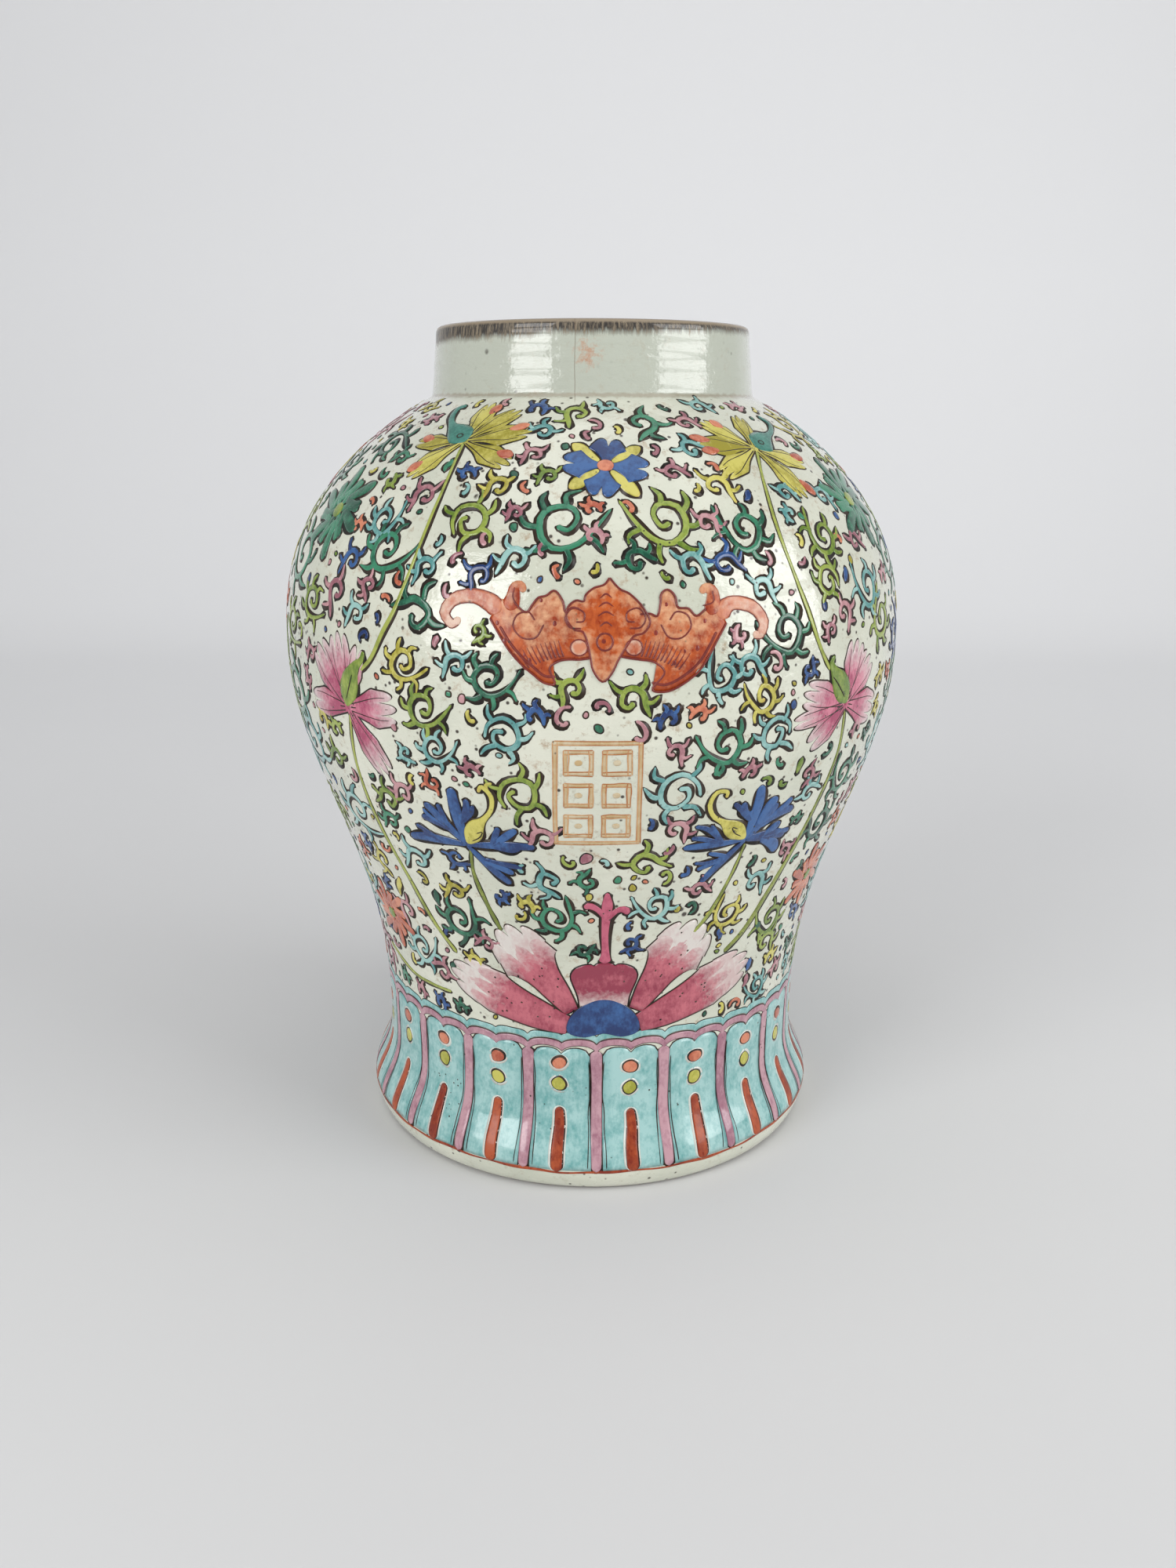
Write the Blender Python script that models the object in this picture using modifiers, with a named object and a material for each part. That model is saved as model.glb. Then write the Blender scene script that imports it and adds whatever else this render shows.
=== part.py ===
"""A porcelain baluster jar, as the potter joins it: five thrown or turned clay pieces, luted with slip.

The foot section carries the flared skirt, the foot ring and the ledge that the base disc rests on. The
belly section, the shoulder section and the neck collar stand on it, one on the other. Metres, +Z up, and the
origin is at the centre of the foot, on the surface that the jar stands on.
"""

import bmesh
import bpy
import numpy as np

# Overall sizes of the outer shape.
JAR_HEIGHT = 0.350
NECK_HEIGHT = 0.0279
NECK_ROOT_RADIUS = 0.0691
NECK_TAPER = 0.0026
BELLY_HEIGHT = 0.2203
BELLY_RADIUS = 0.1346
WAIST_HEIGHT = 0.0420
WAIST_RADIUS = 0.0968
FLARE_HEIGHT = 0.0098
FLARE_OUT = 0.0088
FOOT_TUCK = 0.0035

# How full each stretch of the outer curve is.
SHOULDER_RISE = 2.469
SHOULDER_FALL = 1.095
LOWER_BODY_EASE = 1.233
SKIRT_EASE = 1.36

# Walls, measured square to the surface.
NECK_WALL = 0.0052
SHOULDER_WALL = 0.0056
BODY_WALL = 0.0062
SKIRT_WALL = 0.0080

# The lip and the foot ring.
LIP_ROUND = 0.0012
FOOT_ROUND = 0.0012
FOOT_RING_WIDTH = 0.0100
LEDGE_WIDTH = 0.0045
LEDGE_HEIGHT = 0.0120

# The base disc, dropped in from above before the belly section is luted on.
DISC_CLEARANCE = 0.0028
DISC_THICKNESS = 0.0078
DISC_DISH = 0.0010
DISC_FLAT_MARGIN = 0.0270

# The slip joint between two pieces, left as a gap, and how far above the waist the lower body joint is.
SLIP_GAP = 0.0003
WAIST_SEAM_RISE = 0.0200

# Fineness of the turned shapes.
TURN_STEPS = 64
ROUND_STEPS = 3
CURVE_STEPS = 400
COLLAR_STATIONS = 3
FOOT_STATIONS = 7
BELLY_STATIONS = 10
SHOULDER_STATIONS = 11
SHARP_ANGLE = np.radians(35.0)
MERGE = 0.00001

# Glaze and bare clay: colour, roughness and clear coat.
GLAZE = (0.78, 0.80, 0.75), 0.18, 0.6
BARE_CLAY = (0.70, 0.64, 0.54), 0.65, 0.0

neck_root_height = JAR_HEIGHT - NECK_HEIGHT
rim_radius = NECK_ROOT_RADIUS - NECK_TAPER
flare_radius = WAIST_RADIUS + FLARE_OUT
foot_radius = flare_radius - FOOT_TUCK
waist_seam_height = WAIST_HEIGHT + WAIST_SEAM_RISE


def ease(t):
    """A half cosine wave, from 0 at t = 0 to 1 at t = 1, level at both ends."""
    return (1 - np.cos(np.pi * t)) / 2


def outer_radius(z):
    """Radius of the outer face of the body at height z, below the neck."""
    z = np.asarray(z, float)
    up = np.clip((z - BELLY_HEIGHT) / (neck_root_height - BELLY_HEIGHT), 0, 1)
    shoulder_share = (1 - up**SHOULDER_RISE) ** (1 / SHOULDER_FALL)
    shoulder = NECK_ROOT_RADIUS + (BELLY_RADIUS - NECK_ROOT_RADIUS) * shoulder_share
    climb = np.clip((z - WAIST_HEIGHT) / (BELLY_HEIGHT - WAIST_HEIGHT), 0, 1)
    body = WAIST_RADIUS + (BELLY_RADIUS - WAIST_RADIUS) * ease(climb**LOWER_BODY_EASE)
    drop = np.clip((WAIST_HEIGHT - z) / (WAIST_HEIGHT - FLARE_HEIGHT), 0, 1)
    skirt = WAIST_RADIUS + FLARE_OUT * ease(drop**SKIRT_EASE)
    tuck = np.clip((FLARE_HEIGHT - z) / FLARE_HEIGHT, 0, 1)
    foot = flare_radius - FOOT_TUCK * tuck**2
    stretches = [z >= BELLY_HEIGHT, z >= WAIST_HEIGHT, z >= FLARE_HEIGHT]
    return np.select(stretches, [shoulder, body, skirt], foot)


def wall_thickness(z):
    """The wall thins from the skirt to the body, and again to the shoulder."""
    heights = [FLARE_HEIGHT, waist_seam_height, BELLY_HEIGHT, neck_root_height]
    return np.interp(z, heights, [SKIRT_WALL, BODY_WALL, BODY_WALL, SHOULDER_WALL])


def inner_radius(z):
    """Radius of the inner face at height z: the outer curve, moved square to itself by the wall."""
    height = np.linspace(FLARE_HEIGHT, neck_root_height, CURVE_STEPS)
    radius = outer_radius(height)
    slope = np.gradient(radius, height)
    length = np.sqrt(1 + slope**2)
    wall = wall_thickness(height)
    moved_radius = radius - wall / length
    moved_height = height + wall * slope / length
    order = np.argsort(moved_height)
    found = np.interp(z, moved_height[order], moved_radius[order])
    return np.maximum(found, NECK_ROOT_RADIUS - NECK_WALL)


def disc_radius():
    """The base disc's radius: it is lowered from above, so it clears the narrowest place above its ledge."""
    height = np.linspace(LEDGE_HEIGHT, waist_seam_height, CURVE_STEPS)
    return inner_radius(height).min() - DISC_CLEARANCE


def side(radius_at, low, high, stations):
    """Points (radius, height) of one face between two heights, from the top down."""
    height = np.linspace(high, low, stations)
    return list(zip(radius_at(height), height))


def round_corner(corner, reach, start, end):
    """Points of a quarter round that replaces a corner, turning from angle start to angle end in degrees."""
    middle_start = np.radians(start)
    middle_end = np.radians(end)
    centre_r = corner[0] - reach * (np.cos(middle_start) + np.cos(middle_end))
    centre_z = corner[1] - reach * (np.sin(middle_start) + np.sin(middle_end))
    turn = np.linspace(middle_start, middle_end, ROUND_STEPS + 1)
    return list(zip(centre_r + reach * np.cos(turn), centre_z + reach * np.sin(turn)))


def clay(name, colour, roughness, coat):
    """A fired clay surface, glazed or bare."""
    material = bpy.data.materials.new(name)
    material.use_nodes = True
    shader = material.node_tree.nodes["Principled BSDF"]
    shader.inputs["Base Color"].default_value = (*colour, 1)
    shader.inputs["Roughness"].default_value = roughness
    shader.inputs["Metallic"].default_value = 0.0
    shader.inputs["Coat Weight"].default_value = coat
    return material


def turned(name, profile, material, closed=True):
    """A piece turned on the wheel: a profile, down the outer side and up the inner side, spun about Z."""
    shape = bmesh.new()
    points = [shape.verts.new((radius, 0, height)) for radius, height in profile]
    for first, second in zip(points, points[1:]):
        shape.edges.new((first, second))
    if closed:
        shape.edges.new((points[-1], points[0]))
    mesh = bpy.data.meshes.new(name)
    shape.to_mesh(mesh)
    shape.free()
    piece = bpy.data.objects.new(name, mesh)
    parts.objects.link(piece)
    screw = piece.modifiers.new("turn", "SCREW")
    screw.axis = "Z"
    screw.steps = TURN_STEPS
    screw.render_steps = TURN_STEPS
    screw.use_merge_vertices = True
    screw.merge_threshold = MERGE
    graph = bpy.context.evaluated_depsgraph_get()
    spun = bpy.data.meshes.new_from_object(piece.evaluated_get(graph))
    piece.modifiers.clear()
    piece.data = spun
    spun.name = name
    spun.materials.append(material)
    spun.shade_smooth()
    spun.set_sharp_from_angle(angle=SHARP_ANGLE)
    return piece


def make_foot_section(material):
    """The flared skirt with the foot ring under it, and the ledge and the rebate that hold the base disc."""
    top = waist_seam_height - SLIP_GAP / 2
    ring_inner = foot_radius - FOOT_RING_WIDTH
    rebate = disc_radius() + SLIP_GAP
    ledge_edge = rebate - LEDGE_WIDTH
    disc_top = LEDGE_HEIGHT + SLIP_GAP + DISC_THICKNESS
    outside = side(outer_radius, WAIST_HEIGHT, top, COLLAR_STATIONS)
    outside += side(outer_radius, FLARE_HEIGHT, WAIST_HEIGHT, FOOT_STATIONS)[1:]
    outside += side(outer_radius, FOOT_ROUND, FLARE_HEIGHT, COLLAR_STATIONS)[1:]
    outside += round_corner((outer_radius(FOOT_ROUND), 0), FOOT_ROUND, 0, -90)[1:]
    underneath = round_corner((ring_inner, 0), FOOT_ROUND, -90, -180)
    underneath += [(ledge_edge, LEDGE_HEIGHT), (rebate, LEDGE_HEIGHT), (rebate, disc_top)]
    inside_low = disc_top + SKIRT_WALL
    inside = side(inner_radius, inside_low, top, FOOT_STATIONS)[::-1]
    return turned("foot_section", outside + underneath + inside, material)


def make_base_disc(material):
    """The floor of the jar: a slab on the ledge, dished a little on its upper face."""
    underside = LEDGE_HEIGHT + SLIP_GAP
    upper = underside + DISC_THICKNESS
    edge = disc_radius()
    profile = [(0, upper - DISC_DISH), (edge - DISC_FLAT_MARGIN, upper - DISC_DISH)]
    profile += round_corner((edge, upper), LIP_ROUND, 90, 0)
    profile += [(edge, underside), (0, underside)]
    return turned("base_disc", profile, material, closed=False)


def make_body_section(name, low, high, stations, material):
    """A thrown ring of the body's wall between two slip joints."""
    bottom = low + SLIP_GAP / 2
    top = high - SLIP_GAP / 2
    outside = side(outer_radius, bottom, top, stations)
    inside = side(inner_radius, bottom, top, stations)[::-1]
    return turned(name, outside + inside, material)


def make_neck_collar(material):
    """The upright neck, a little narrower at the mouth, with a rounded lip that is flat on top."""
    bottom = neck_root_height + SLIP_GAP / 2
    lip_inner = rim_radius - NECK_WALL
    profile = round_corner((rim_radius, JAR_HEIGHT), LIP_ROUND, 90, 0)
    profile += [(NECK_ROOT_RADIUS, bottom), (NECK_ROOT_RADIUS - NECK_WALL, bottom)]
    profile += round_corner((lip_inner, JAR_HEIGHT), LIP_ROUND, 180, 90)
    return turned("neck_collar", profile, material)


for old in list(bpy.data.objects):
    bpy.data.objects.remove(old)

parts = bpy.data.collections.new("baluster_jar")
bpy.context.scene.collection.children.link(parts)

glazed = clay("glazed_porcelain", *GLAZE)
bare = clay("bare_porcelain", *BARE_CLAY)

make_foot_section(glazed)
make_base_disc(bare)
make_body_section("belly_section", waist_seam_height, BELLY_HEIGHT, BELLY_STATIONS, glazed)
make_body_section("shoulder_section", BELLY_HEIGHT, neck_root_height, SHOULDER_STATIONS, glazed)
make_neck_collar(glazed)
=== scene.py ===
"""A famille rose baluster jar: a thrown porcelain body, and the enamels painted and fired on its glaze."""

import bmesh
import bpy
import numpy as np
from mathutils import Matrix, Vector


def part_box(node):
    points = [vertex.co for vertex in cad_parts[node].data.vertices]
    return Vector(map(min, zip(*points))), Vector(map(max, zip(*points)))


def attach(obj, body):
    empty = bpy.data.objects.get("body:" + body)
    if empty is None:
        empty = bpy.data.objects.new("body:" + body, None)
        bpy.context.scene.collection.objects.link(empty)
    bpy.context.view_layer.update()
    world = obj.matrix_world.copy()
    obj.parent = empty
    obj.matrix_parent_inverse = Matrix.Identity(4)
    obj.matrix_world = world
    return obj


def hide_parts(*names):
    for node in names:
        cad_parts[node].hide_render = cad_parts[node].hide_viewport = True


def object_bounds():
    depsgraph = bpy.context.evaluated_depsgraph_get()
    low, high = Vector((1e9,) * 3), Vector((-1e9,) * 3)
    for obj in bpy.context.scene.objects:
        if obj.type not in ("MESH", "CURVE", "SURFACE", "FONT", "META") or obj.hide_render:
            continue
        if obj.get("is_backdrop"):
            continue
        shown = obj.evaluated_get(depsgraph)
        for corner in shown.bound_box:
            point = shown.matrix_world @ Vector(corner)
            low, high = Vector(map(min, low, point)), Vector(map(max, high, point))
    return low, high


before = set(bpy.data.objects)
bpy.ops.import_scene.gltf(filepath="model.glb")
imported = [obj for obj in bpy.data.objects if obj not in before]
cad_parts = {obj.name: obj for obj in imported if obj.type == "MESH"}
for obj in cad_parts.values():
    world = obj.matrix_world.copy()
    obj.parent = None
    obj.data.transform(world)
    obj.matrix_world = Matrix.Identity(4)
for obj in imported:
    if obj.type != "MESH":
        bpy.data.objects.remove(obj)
cad_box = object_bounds()

# The porcelain body. The potter throws the belly and the shoulder as two rings, turns the flared foot, and
# lutes on the neck and the base. One coat of glaze covers the joints, so it shows as one wall, with the faint
# rings of the wheel in it. Only the lip and the underside of the foot are wiped bare.
MM = 0.001
collar_low, collar_high = (np.array(c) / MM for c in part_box("neck_collar"))
belly_high = np.array(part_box("belly_section")[1]) / MM
skirt_high = np.array(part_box("foot_section")[1]) / MM
LIP_Z, ROOT_Z, ROOT_R = collar_high[2], collar_low[2], collar_high[0]
BELLY_Z, BELLY_R, FLARE_R = belly_high[2], belly_high[0], skirt_high[0]
LIP_R, WAIST_Z, WAIST_R, FLARE_Z, FOOT_R = 66.5, 42.0, 96.8, 9.8, 102.1
SKIRT_EASE, BELLY_EASE, SHOULDER_RISE, SHOULDER_FALL = 1.36, 1.233, 2.469, 1.095
INSET = 0.75
TURNS = 180
rng = np.random.default_rng(7)


def ease(t):
    """Half a cosine wave: 0 at t = 0, 1 at t = 1, level at both ends."""
    return (1 - np.cos(np.pi * np.clip(t, 0, 1))) / 2


def wall_radius(z):
    """The outer wall's radius at height z: a foot that tucks in, a flared skirt, a waist, a belly and a domed
    shoulder, each a share of the step between two radii."""
    foot = FLARE_R - (FLARE_R - FOOT_R) * np.clip(1 - z / FLARE_Z, 0, 1) ** 2
    drop = np.clip((WAIST_Z - z) / (WAIST_Z - FLARE_Z), 0, 1)
    skirt = WAIST_R + (FLARE_R - WAIST_R) * ease(drop**SKIRT_EASE)
    climb = np.clip((z - WAIST_Z) / (BELLY_Z - WAIST_Z), 0, 1)
    belly = WAIST_R + (BELLY_R - WAIST_R) * ease(climb**BELLY_EASE)
    rise = np.clip((z - BELLY_Z) / (ROOT_Z - BELLY_Z), 0, 1) ** SHOULDER_RISE
    shoulder = ROOT_R + (BELLY_R - ROOT_R) * (1 - rise) ** (1 / SHOULDER_FALL)
    return np.select([z >= BELLY_Z, z >= WAIST_Z, z >= FLARE_Z], [shoulder, belly, skirt], foot)


def even(path, step):
    """The same path with its points a step apart, and the distance along it of each."""
    run = np.concatenate([[0], np.cumsum(np.hypot(*np.diff(path, axis=0).T))])
    at = np.linspace(0, run[-1], int(run[-1] / step) + 1)
    return np.stack([np.interp(at, run, path[:, i]) for i in (0, 1)], 1), at


def softened(path, reach):
    """The path with its corners rounded: each point is a bell-weighted mean of its neighbours."""
    bell = np.exp(-np.linspace(-2, 2, 2 * reach + 1) ** 2)
    padded = np.concatenate([np.repeat(path[:1], reach, 0), path, np.repeat(path[-1:], reach, 0)])
    return np.stack([np.convolve(padded[:, i], bell / bell.sum(), "valid") for i in (0, 1)], 1)


heights = np.linspace(0, ROOT_Z - 1e-6, 3000)
profile = np.stack([wall_radius(heights), heights], 1)
lip = [[LIP_R + 0.3, LIP_Z - 2.6], [LIP_R + 0.1, LIP_Z - 1.0], [LIP_R - 0.7, LIP_Z - 0.2], [LIP_R - 1.7, LIP_Z]]
profile = np.concatenate([profile, lip]) - [INSET, 0]
outer, outer_run = even(profile, 0.25)
outer = softened(outer, 7)
tangent = np.gradient(outer, axis=0)
tangent /= np.hypot(*tangent.T)[:, None]
square = np.stack([tangent[:, 1], -tangent[:, 0]], 1)


def wall_run(z):
    """How far up along the wall from the foot a height is, in millimetres."""
    return np.interp(z, outer[:, 1], outer_run)


def radius_at(run):
    """The wall's radius at a distance up along it."""
    return np.interp(run, outer_run, outer[:, 0])


def swell(azimuth, z):
    """How far the wall strays from round, in millimetres: slow waves round the jar that drift with height, and
    the fine rings that the potter's fingers leave."""
    slow = 0.10 * np.sin(2 * azimuth + 0.8) + 0.06 * np.sin(3 * azimuth + z / 37)
    slow = slow + 0.05 * np.sin(5 * azimuth - z / 23)
    rings = 0.018 * np.sin(z / 0.93 + np.sin(azimuth + z / 31))
    rings = rings + 0.020 * np.sin(z / 2.3 + 2 * np.sin(2 * azimuth))
    return slow + rings * (1 + 1.6 * np.clip((z - ROOT_Z) / 4, 0, 1))


def on_wall(azimuth, run, lift):
    """The place on the jar, in metres, at an azimuth in radians from the front, a distance up along the wall
    from the foot, and a lift square to the wall, both in millimetres."""
    r = radius_at(run) + lift * np.interp(run, outer_run, square[:, 0])
    z = np.interp(run, outer_run, outer[:, 1]) + lift * np.interp(run, outer_run, square[:, 1])
    r = r + swell(azimuth, z)
    return np.stack([r * np.sin(azimuth), -r * np.cos(azimuth), z], -1) * MM


def new_piece(name, points, faces):
    """A smooth piece at the origin from points in metres and its faces, which rides on the jar's one body."""
    mesh = bpy.data.meshes.new(name)
    mesh.from_pydata(points.tolist(), [], faces)
    shape = bmesh.new()
    shape.from_mesh(mesh)
    bmesh.ops.recalc_face_normals(shape, faces=shape.faces)
    shape.to_mesh(mesh)
    shape.free()
    mesh.shade_smooth()
    made = bpy.data.objects.new(name, mesh)
    bpy.context.scene.collection.objects.link(made)
    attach(made, "root")
    return made


walls = np.interp(outer[:, 1], [0, 60, ROOT_Z - 8, ROOT_Z + 4, LIP_Z], [8.6, 6.2, 5.6, 5.0, 5.0])
inner = (outer - square * walls[:, None])[40:-8]
inner = inner[inner[:, 1] > 22][::-1]
jar_floor = [[84.0, 20.2], [60, 19.0], [25, 19.3], [0.0, 19.6]]
under = [[0.0, 12.2], [40, 12.5], [78, 12.0], [84, 10.6], [90.5, 2.4], [92.0, 0.5], [93.2, 0.0], [98.0, 0.0]]
under = softened(even(np.array(under), 1.0)[0], 2)
section = np.concatenate([under, outer[5:], inner, jar_floor])
section = even(section, 1.3)[0]
past_lip = int(section[:, 1].argmax()) + 12
section = np.concatenate([section[:past_lip], section[past_lip:-1:3], section[-1:]])
section[[0, -1], 0] = 0
turn = (np.arange(TURNS) * 2 * np.pi / TURNS)[None, :]
ring = section[1:-1, None, :]
radius = ring[..., 0] + swell(turn, ring[..., 1]) * np.clip(ring[..., 0] / 60, 0, 1)
points = np.stack([radius * np.sin(turn), -radius * np.cos(turn), np.maximum(ring[..., 1] + 0 * turn, 0)], -1)
poles = [[0, 0, section[0, 1]], [0, 0, section[-1, 1]]]
index = np.arange(points[..., 0].size).reshape(-1, TURNS)
aside = np.roll(index, -1, 1)
faces = np.stack([index[:-1], aside[:-1], aside[1:], index[1:]], -1).reshape(-1, 4).tolist()
faces += [(index.size, int(b), int(a)) for a, b in zip(index[0], aside[0])]
faces += [(index.size + 1, int(a), int(b)) for a, b in zip(index[-1], aside[-1])]
points = np.concatenate([points.reshape(-1, 3), poles]) * MM
body = new_piece("porcelain_body", points, faces)
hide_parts("foot_section", "base_disc", "belly_section", "shoulder_section", "neck_collar")


class Look:
    """A material being made: its Principled shader, its object coordinates, and short ways to add nodes. Each
    method returns the new node's result, and takes either such a result or a plain value for each input."""

    def __init__(self, name, tree=None):
        if tree is None:
            self.material = bpy.data.materials.new(name)
            self.material.use_nodes = True
            tree = self.material.node_tree
            self.shader = tree.nodes["Principled BSDF"]
        self.tree = tree

    def add(self, kind, inputs, output=0, **properties):
        node = self.tree.nodes.new(kind)
        for name, value in properties.items():
            setattr(node, name, value)
        for key, value in inputs.items():
            if isinstance(value, bpy.types.NodeSocket):
                self.tree.links.new(value, node.inputs[key])
            else:
                node.inputs[key].default_value = value
        return node.outputs[output]

    def coords(self, scale=(1, 1, 1)):
        found = self.add("ShaderNodeTexCoord", {}, "Object")
        return self.add("ShaderNodeMapping", {"Vector": found, "Scale": scale})

    def noise(self, scale, detail=3.0, roughness=0.55, at=None):
        values = {"Vector": at or self.coords(), "Scale": scale, "Detail": detail, "Roughness": roughness}
        return self.add("ShaderNodeTexNoise", values, "Fac")

    def span(self, value, low, high, to_low=0.0, to_high=1.0):
        values = {"Value": value, "From Min": low, "From Max": high, "To Min": to_low, "To Max": to_high}
        return self.add("ShaderNodeMapRange", values)

    def math(self, operation, a, b=0.0, c=0.0):
        return self.add("ShaderNodeMath", {0: a, 1: b, 2: c}, operation=operation)

    def mix(self, share, a, b):
        a, b = (c if isinstance(c, bpy.types.NodeSocket) else (*c, 1) for c in (a, b))
        return self.add("ShaderNodeMix", {0: share, 6: a, 7: b}, 2, data_type="RGBA")

    def attribute(self, name):
        return self.add("ShaderNodeAttribute", {}, "Fac", attribute_name=name)

    def bump(self, height, strength, distance):
        return self.add("ShaderNodeBump", {"Height": height, "Strength": strength, "Distance": distance})

    def finish(self, **sockets):
        for name, value in sockets.items():
            socket = self.shader.inputs[name.replace("_", " ")]
            if isinstance(value, bpy.types.NodeSocket):
                self.tree.links.new(value, socket)
            else:
                socket.default_value = value
        return self.material


def effect(name, inputs, outputs):
    """An empty node group for an effect that several materials share, with its inputs and outputs as named."""
    tree = bpy.data.node_groups.new(name, "ShaderNodeTree")
    for direction, sockets in (("INPUT", inputs), ("OUTPUT", outputs)):
        for label, kind in sockets.items():
            tree.interface.new_socket(label, in_out=direction, socket_type="NodeSocket" + kind)
    given = tree.nodes.new("NodeGroupInput")
    result = tree.nodes.new("NodeGroupOutput")
    return Look(name, tree), given.outputs, result.inputs


# specks of iron that burned through the glaze, as dark pits a fraction of a millimetre across
speck, given, result = effect("kiln_specks", {"Scale": "Float", "Amount": "Float"}, {"Mask": "Float"})
cells = speck.add("ShaderNodeTexVoronoi", {"Vector": speck.coords(), "Scale": given["Scale"]}, "Distance")
round_pits = speck.span(cells, 0.17, 0.09)
patches = speck.noise(45, 2)
here = speck.span(speck.math("ADD", patches, given["Amount"]), 0.60, 0.64)
speck.tree.links.new(speck.math("MULTIPLY", round_pits, here), result["Mask"])


def specks(look, scale, amount):
    """The kiln specks' mask in a material: how many to a metre, and how much of the surface has them."""
    group = bpy.data.node_groups["kiln_specks"]
    return look.add("ShaderNodeGroup", {"Scale": scale, "Amount": amount}, node_tree=group)


glaze = Look("glazed_porcelain")
split = {"Vector": glaze.coords()}
on_x, on_y, on_z = (glaze.add("ShaderNodeSeparateXYZ", split, axis) for axis in "XYZ")
glaze_tone_and_neck_shade = glaze.mix(glaze.span(glaze.noise(20, 4), 0.32, 0.68), (0.595, 0.618, 0.505), (0.745, 0.750, 0.630))
# painted shade: the glaze is painted darker from the neck root up, for the weaker light that reaches the upright
# neck
glaze_tone_and_neck_shade = glaze.mix(glaze.span(on_z, 0.3205, 0.3235), glaze_tone_and_neck_shade, (0.520, 0.550, 0.468))
below_neck, above_foot = glaze.span(on_z, 0.318, 0.326, 1, 0.25), glaze.span(on_z, 0.004, 0.012, 0.6, 1)
painted_zone = glaze.math("MULTIPLY", below_neck, above_foot)
grime = glaze.math("MULTIPLY", glaze.span(glaze.noise(240, 7, 0.78), 0.55, 0.70, 0, 0.60), painted_zone)
soiled = glaze.mix(grime, glaze_tone_and_neck_shade, (0.35, 0.31, 0.21))
rusty = glaze.math("MULTIPLY", glaze.span(glaze.noise(120, 6, 0.75), 0.57, 0.70, 0, 0.55), painted_zone)
rusted = glaze.mix(rusty, soiled, (0.42, 0.25, 0.13))
pits = glaze.math("MULTIPLY", specks(glaze, 190, 0.20), glaze.span(painted_zone, 0.2, 0.7))
pitted = glaze.mix(glaze.math("MAXIMUM", pits, specks(glaze, 118, -0.02)), rusted, (0.045, 0.032, 0.020))
uneven = glaze.noise(300, 3, 0.6)
seam = glaze.math("ABSOLUTE", glaze.math("ADD", on_z, -0.3222))
seam = glaze.math("MULTIPLY_ADD", uneven, 0.0016, seam)
settled = glaze.mix(glaze.span(seam, 0.0019, 0.0011, 0, 0.6), pitted, (0.26, 0.20, 0.12))
drawn_down = glaze.coords((1, 1, 0.12))
streaks = glaze.noise(860, 4, 0.75, drawn_down)
ragged = glaze.math("MULTIPLY_ADD", streaks, 0.0070, glaze.math("MULTIPLY_ADD", on_x, -0.030, on_z))
ragged = glaze.math("MULTIPLY_ADD", glaze.noise(24, 2, 0.5, drawn_down), 0.0060, ragged)
wash = glaze.span(ragged, 0.3502, 0.3526)
first_tone = glaze.mix(glaze.span(streaks, 0.46, 0.62), (0.022, 0.016, 0.011), (0.240, 0.190, 0.125))
wash_tone = glaze.mix(glaze.span(ragged, 0.3562, 0.3592), first_tone, (0.250, 0.200, 0.130))
washed = glaze.mix(wash, settled, wash_tone)
bared = glaze.mix(glaze.span(on_z, 0.3482, 0.3491), washed, (0.29, 0.225, 0.145))
footed = glaze.mix(glaze.span(on_z, 0.0017, 0.0006), bared, (0.42, 0.37, 0.29))
# one hairline crack runs down the neck from the lip, with a rusty stain beside it
astray = glaze.math("MULTIPLY_ADD", glaze.noise(70, 3), 0.0012, on_x)
aside = glaze.math("ABSOLUTE", glaze.math("ADD", astray, 0.0062))
in_front = glaze.math("MULTIPLY", glaze.span(on_y, 0, -0.01), glaze.span(on_z, 0.3190, 0.3205))
crack = glaze.math("MULTIPLY", glaze.span(aside, 0.00024, 0.00006, 0, 0.55), in_front)
cracked = glaze.mix(crack, footed, (0.16, 0.09, 0.045))
stain = {0: glaze.coords(), 1: (-0.0022, -0.0672, 0.3372)}
apart = glaze.add("ShaderNodeVectorMath", stain, "Value", operation="DISTANCE")
patchy = glaze.math("MULTIPLY_ADD", glaze.noise(420, 5, 0.75), 0.026, apart)
stained = glaze.mix(glaze.span(patchy, 0.0180, 0.0120, 0, 0.7), cracked, (0.55, 0.22, 0.10))
rings = glaze.noise(1, 3, 0.55, glaze.coords((190, 190, 430)))
relief = glaze.math("MULTIPLY_ADD", rings, 1.5, glaze.noise(260, 3, 0.6))
glaze.finish(
    Base_Color=stained,
    Roughness=glaze.span(wash, 0, 1, 0.10, 0.6),
    Normal=glaze.bump(relief, 0.55, 0.00042),
    Coat_Weight=0.7,
    Coat_Roughness=0.04,
    IOR=1.55,
)
body.data.materials.append(glaze.material)

# The painted coats. Each motif is drawn with thin strokes of ink-brown, filled with thick enamel that melts to
# glassy domes a quarter of a millimetre high, and fired on the glaze. All of one colour is one piece here,
# made of closed sheets that follow the wall.
INK_LIFT, COAT_LIFT, COAT_CROWN, SUNK = 0.045, 0.10, 0.17, -0.07
PETAL_OUTLINE = 0.62
MAP_HALF, HALF_DEGREES = 1.16, 2
painted = np.zeros((360 * HALF_DEGREES, 400), bool)
coats = {}


def numbers(given):
    """An array of numbers from such an array, or from a text whose rows end at semicolons."""
    if isinstance(given, str):
        given = [[float(word) for word in row.split()] for row in given.split(";")]
    return np.asarray(given, float)


def rounded(x, power=2, share=0.96):
    """The height of a half ellipse over x from -1 to 1, flatter on top the higher the power, whose ends stand a
    little above nothing."""
    return np.sqrt(1 - share * np.abs(x) ** power)


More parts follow.
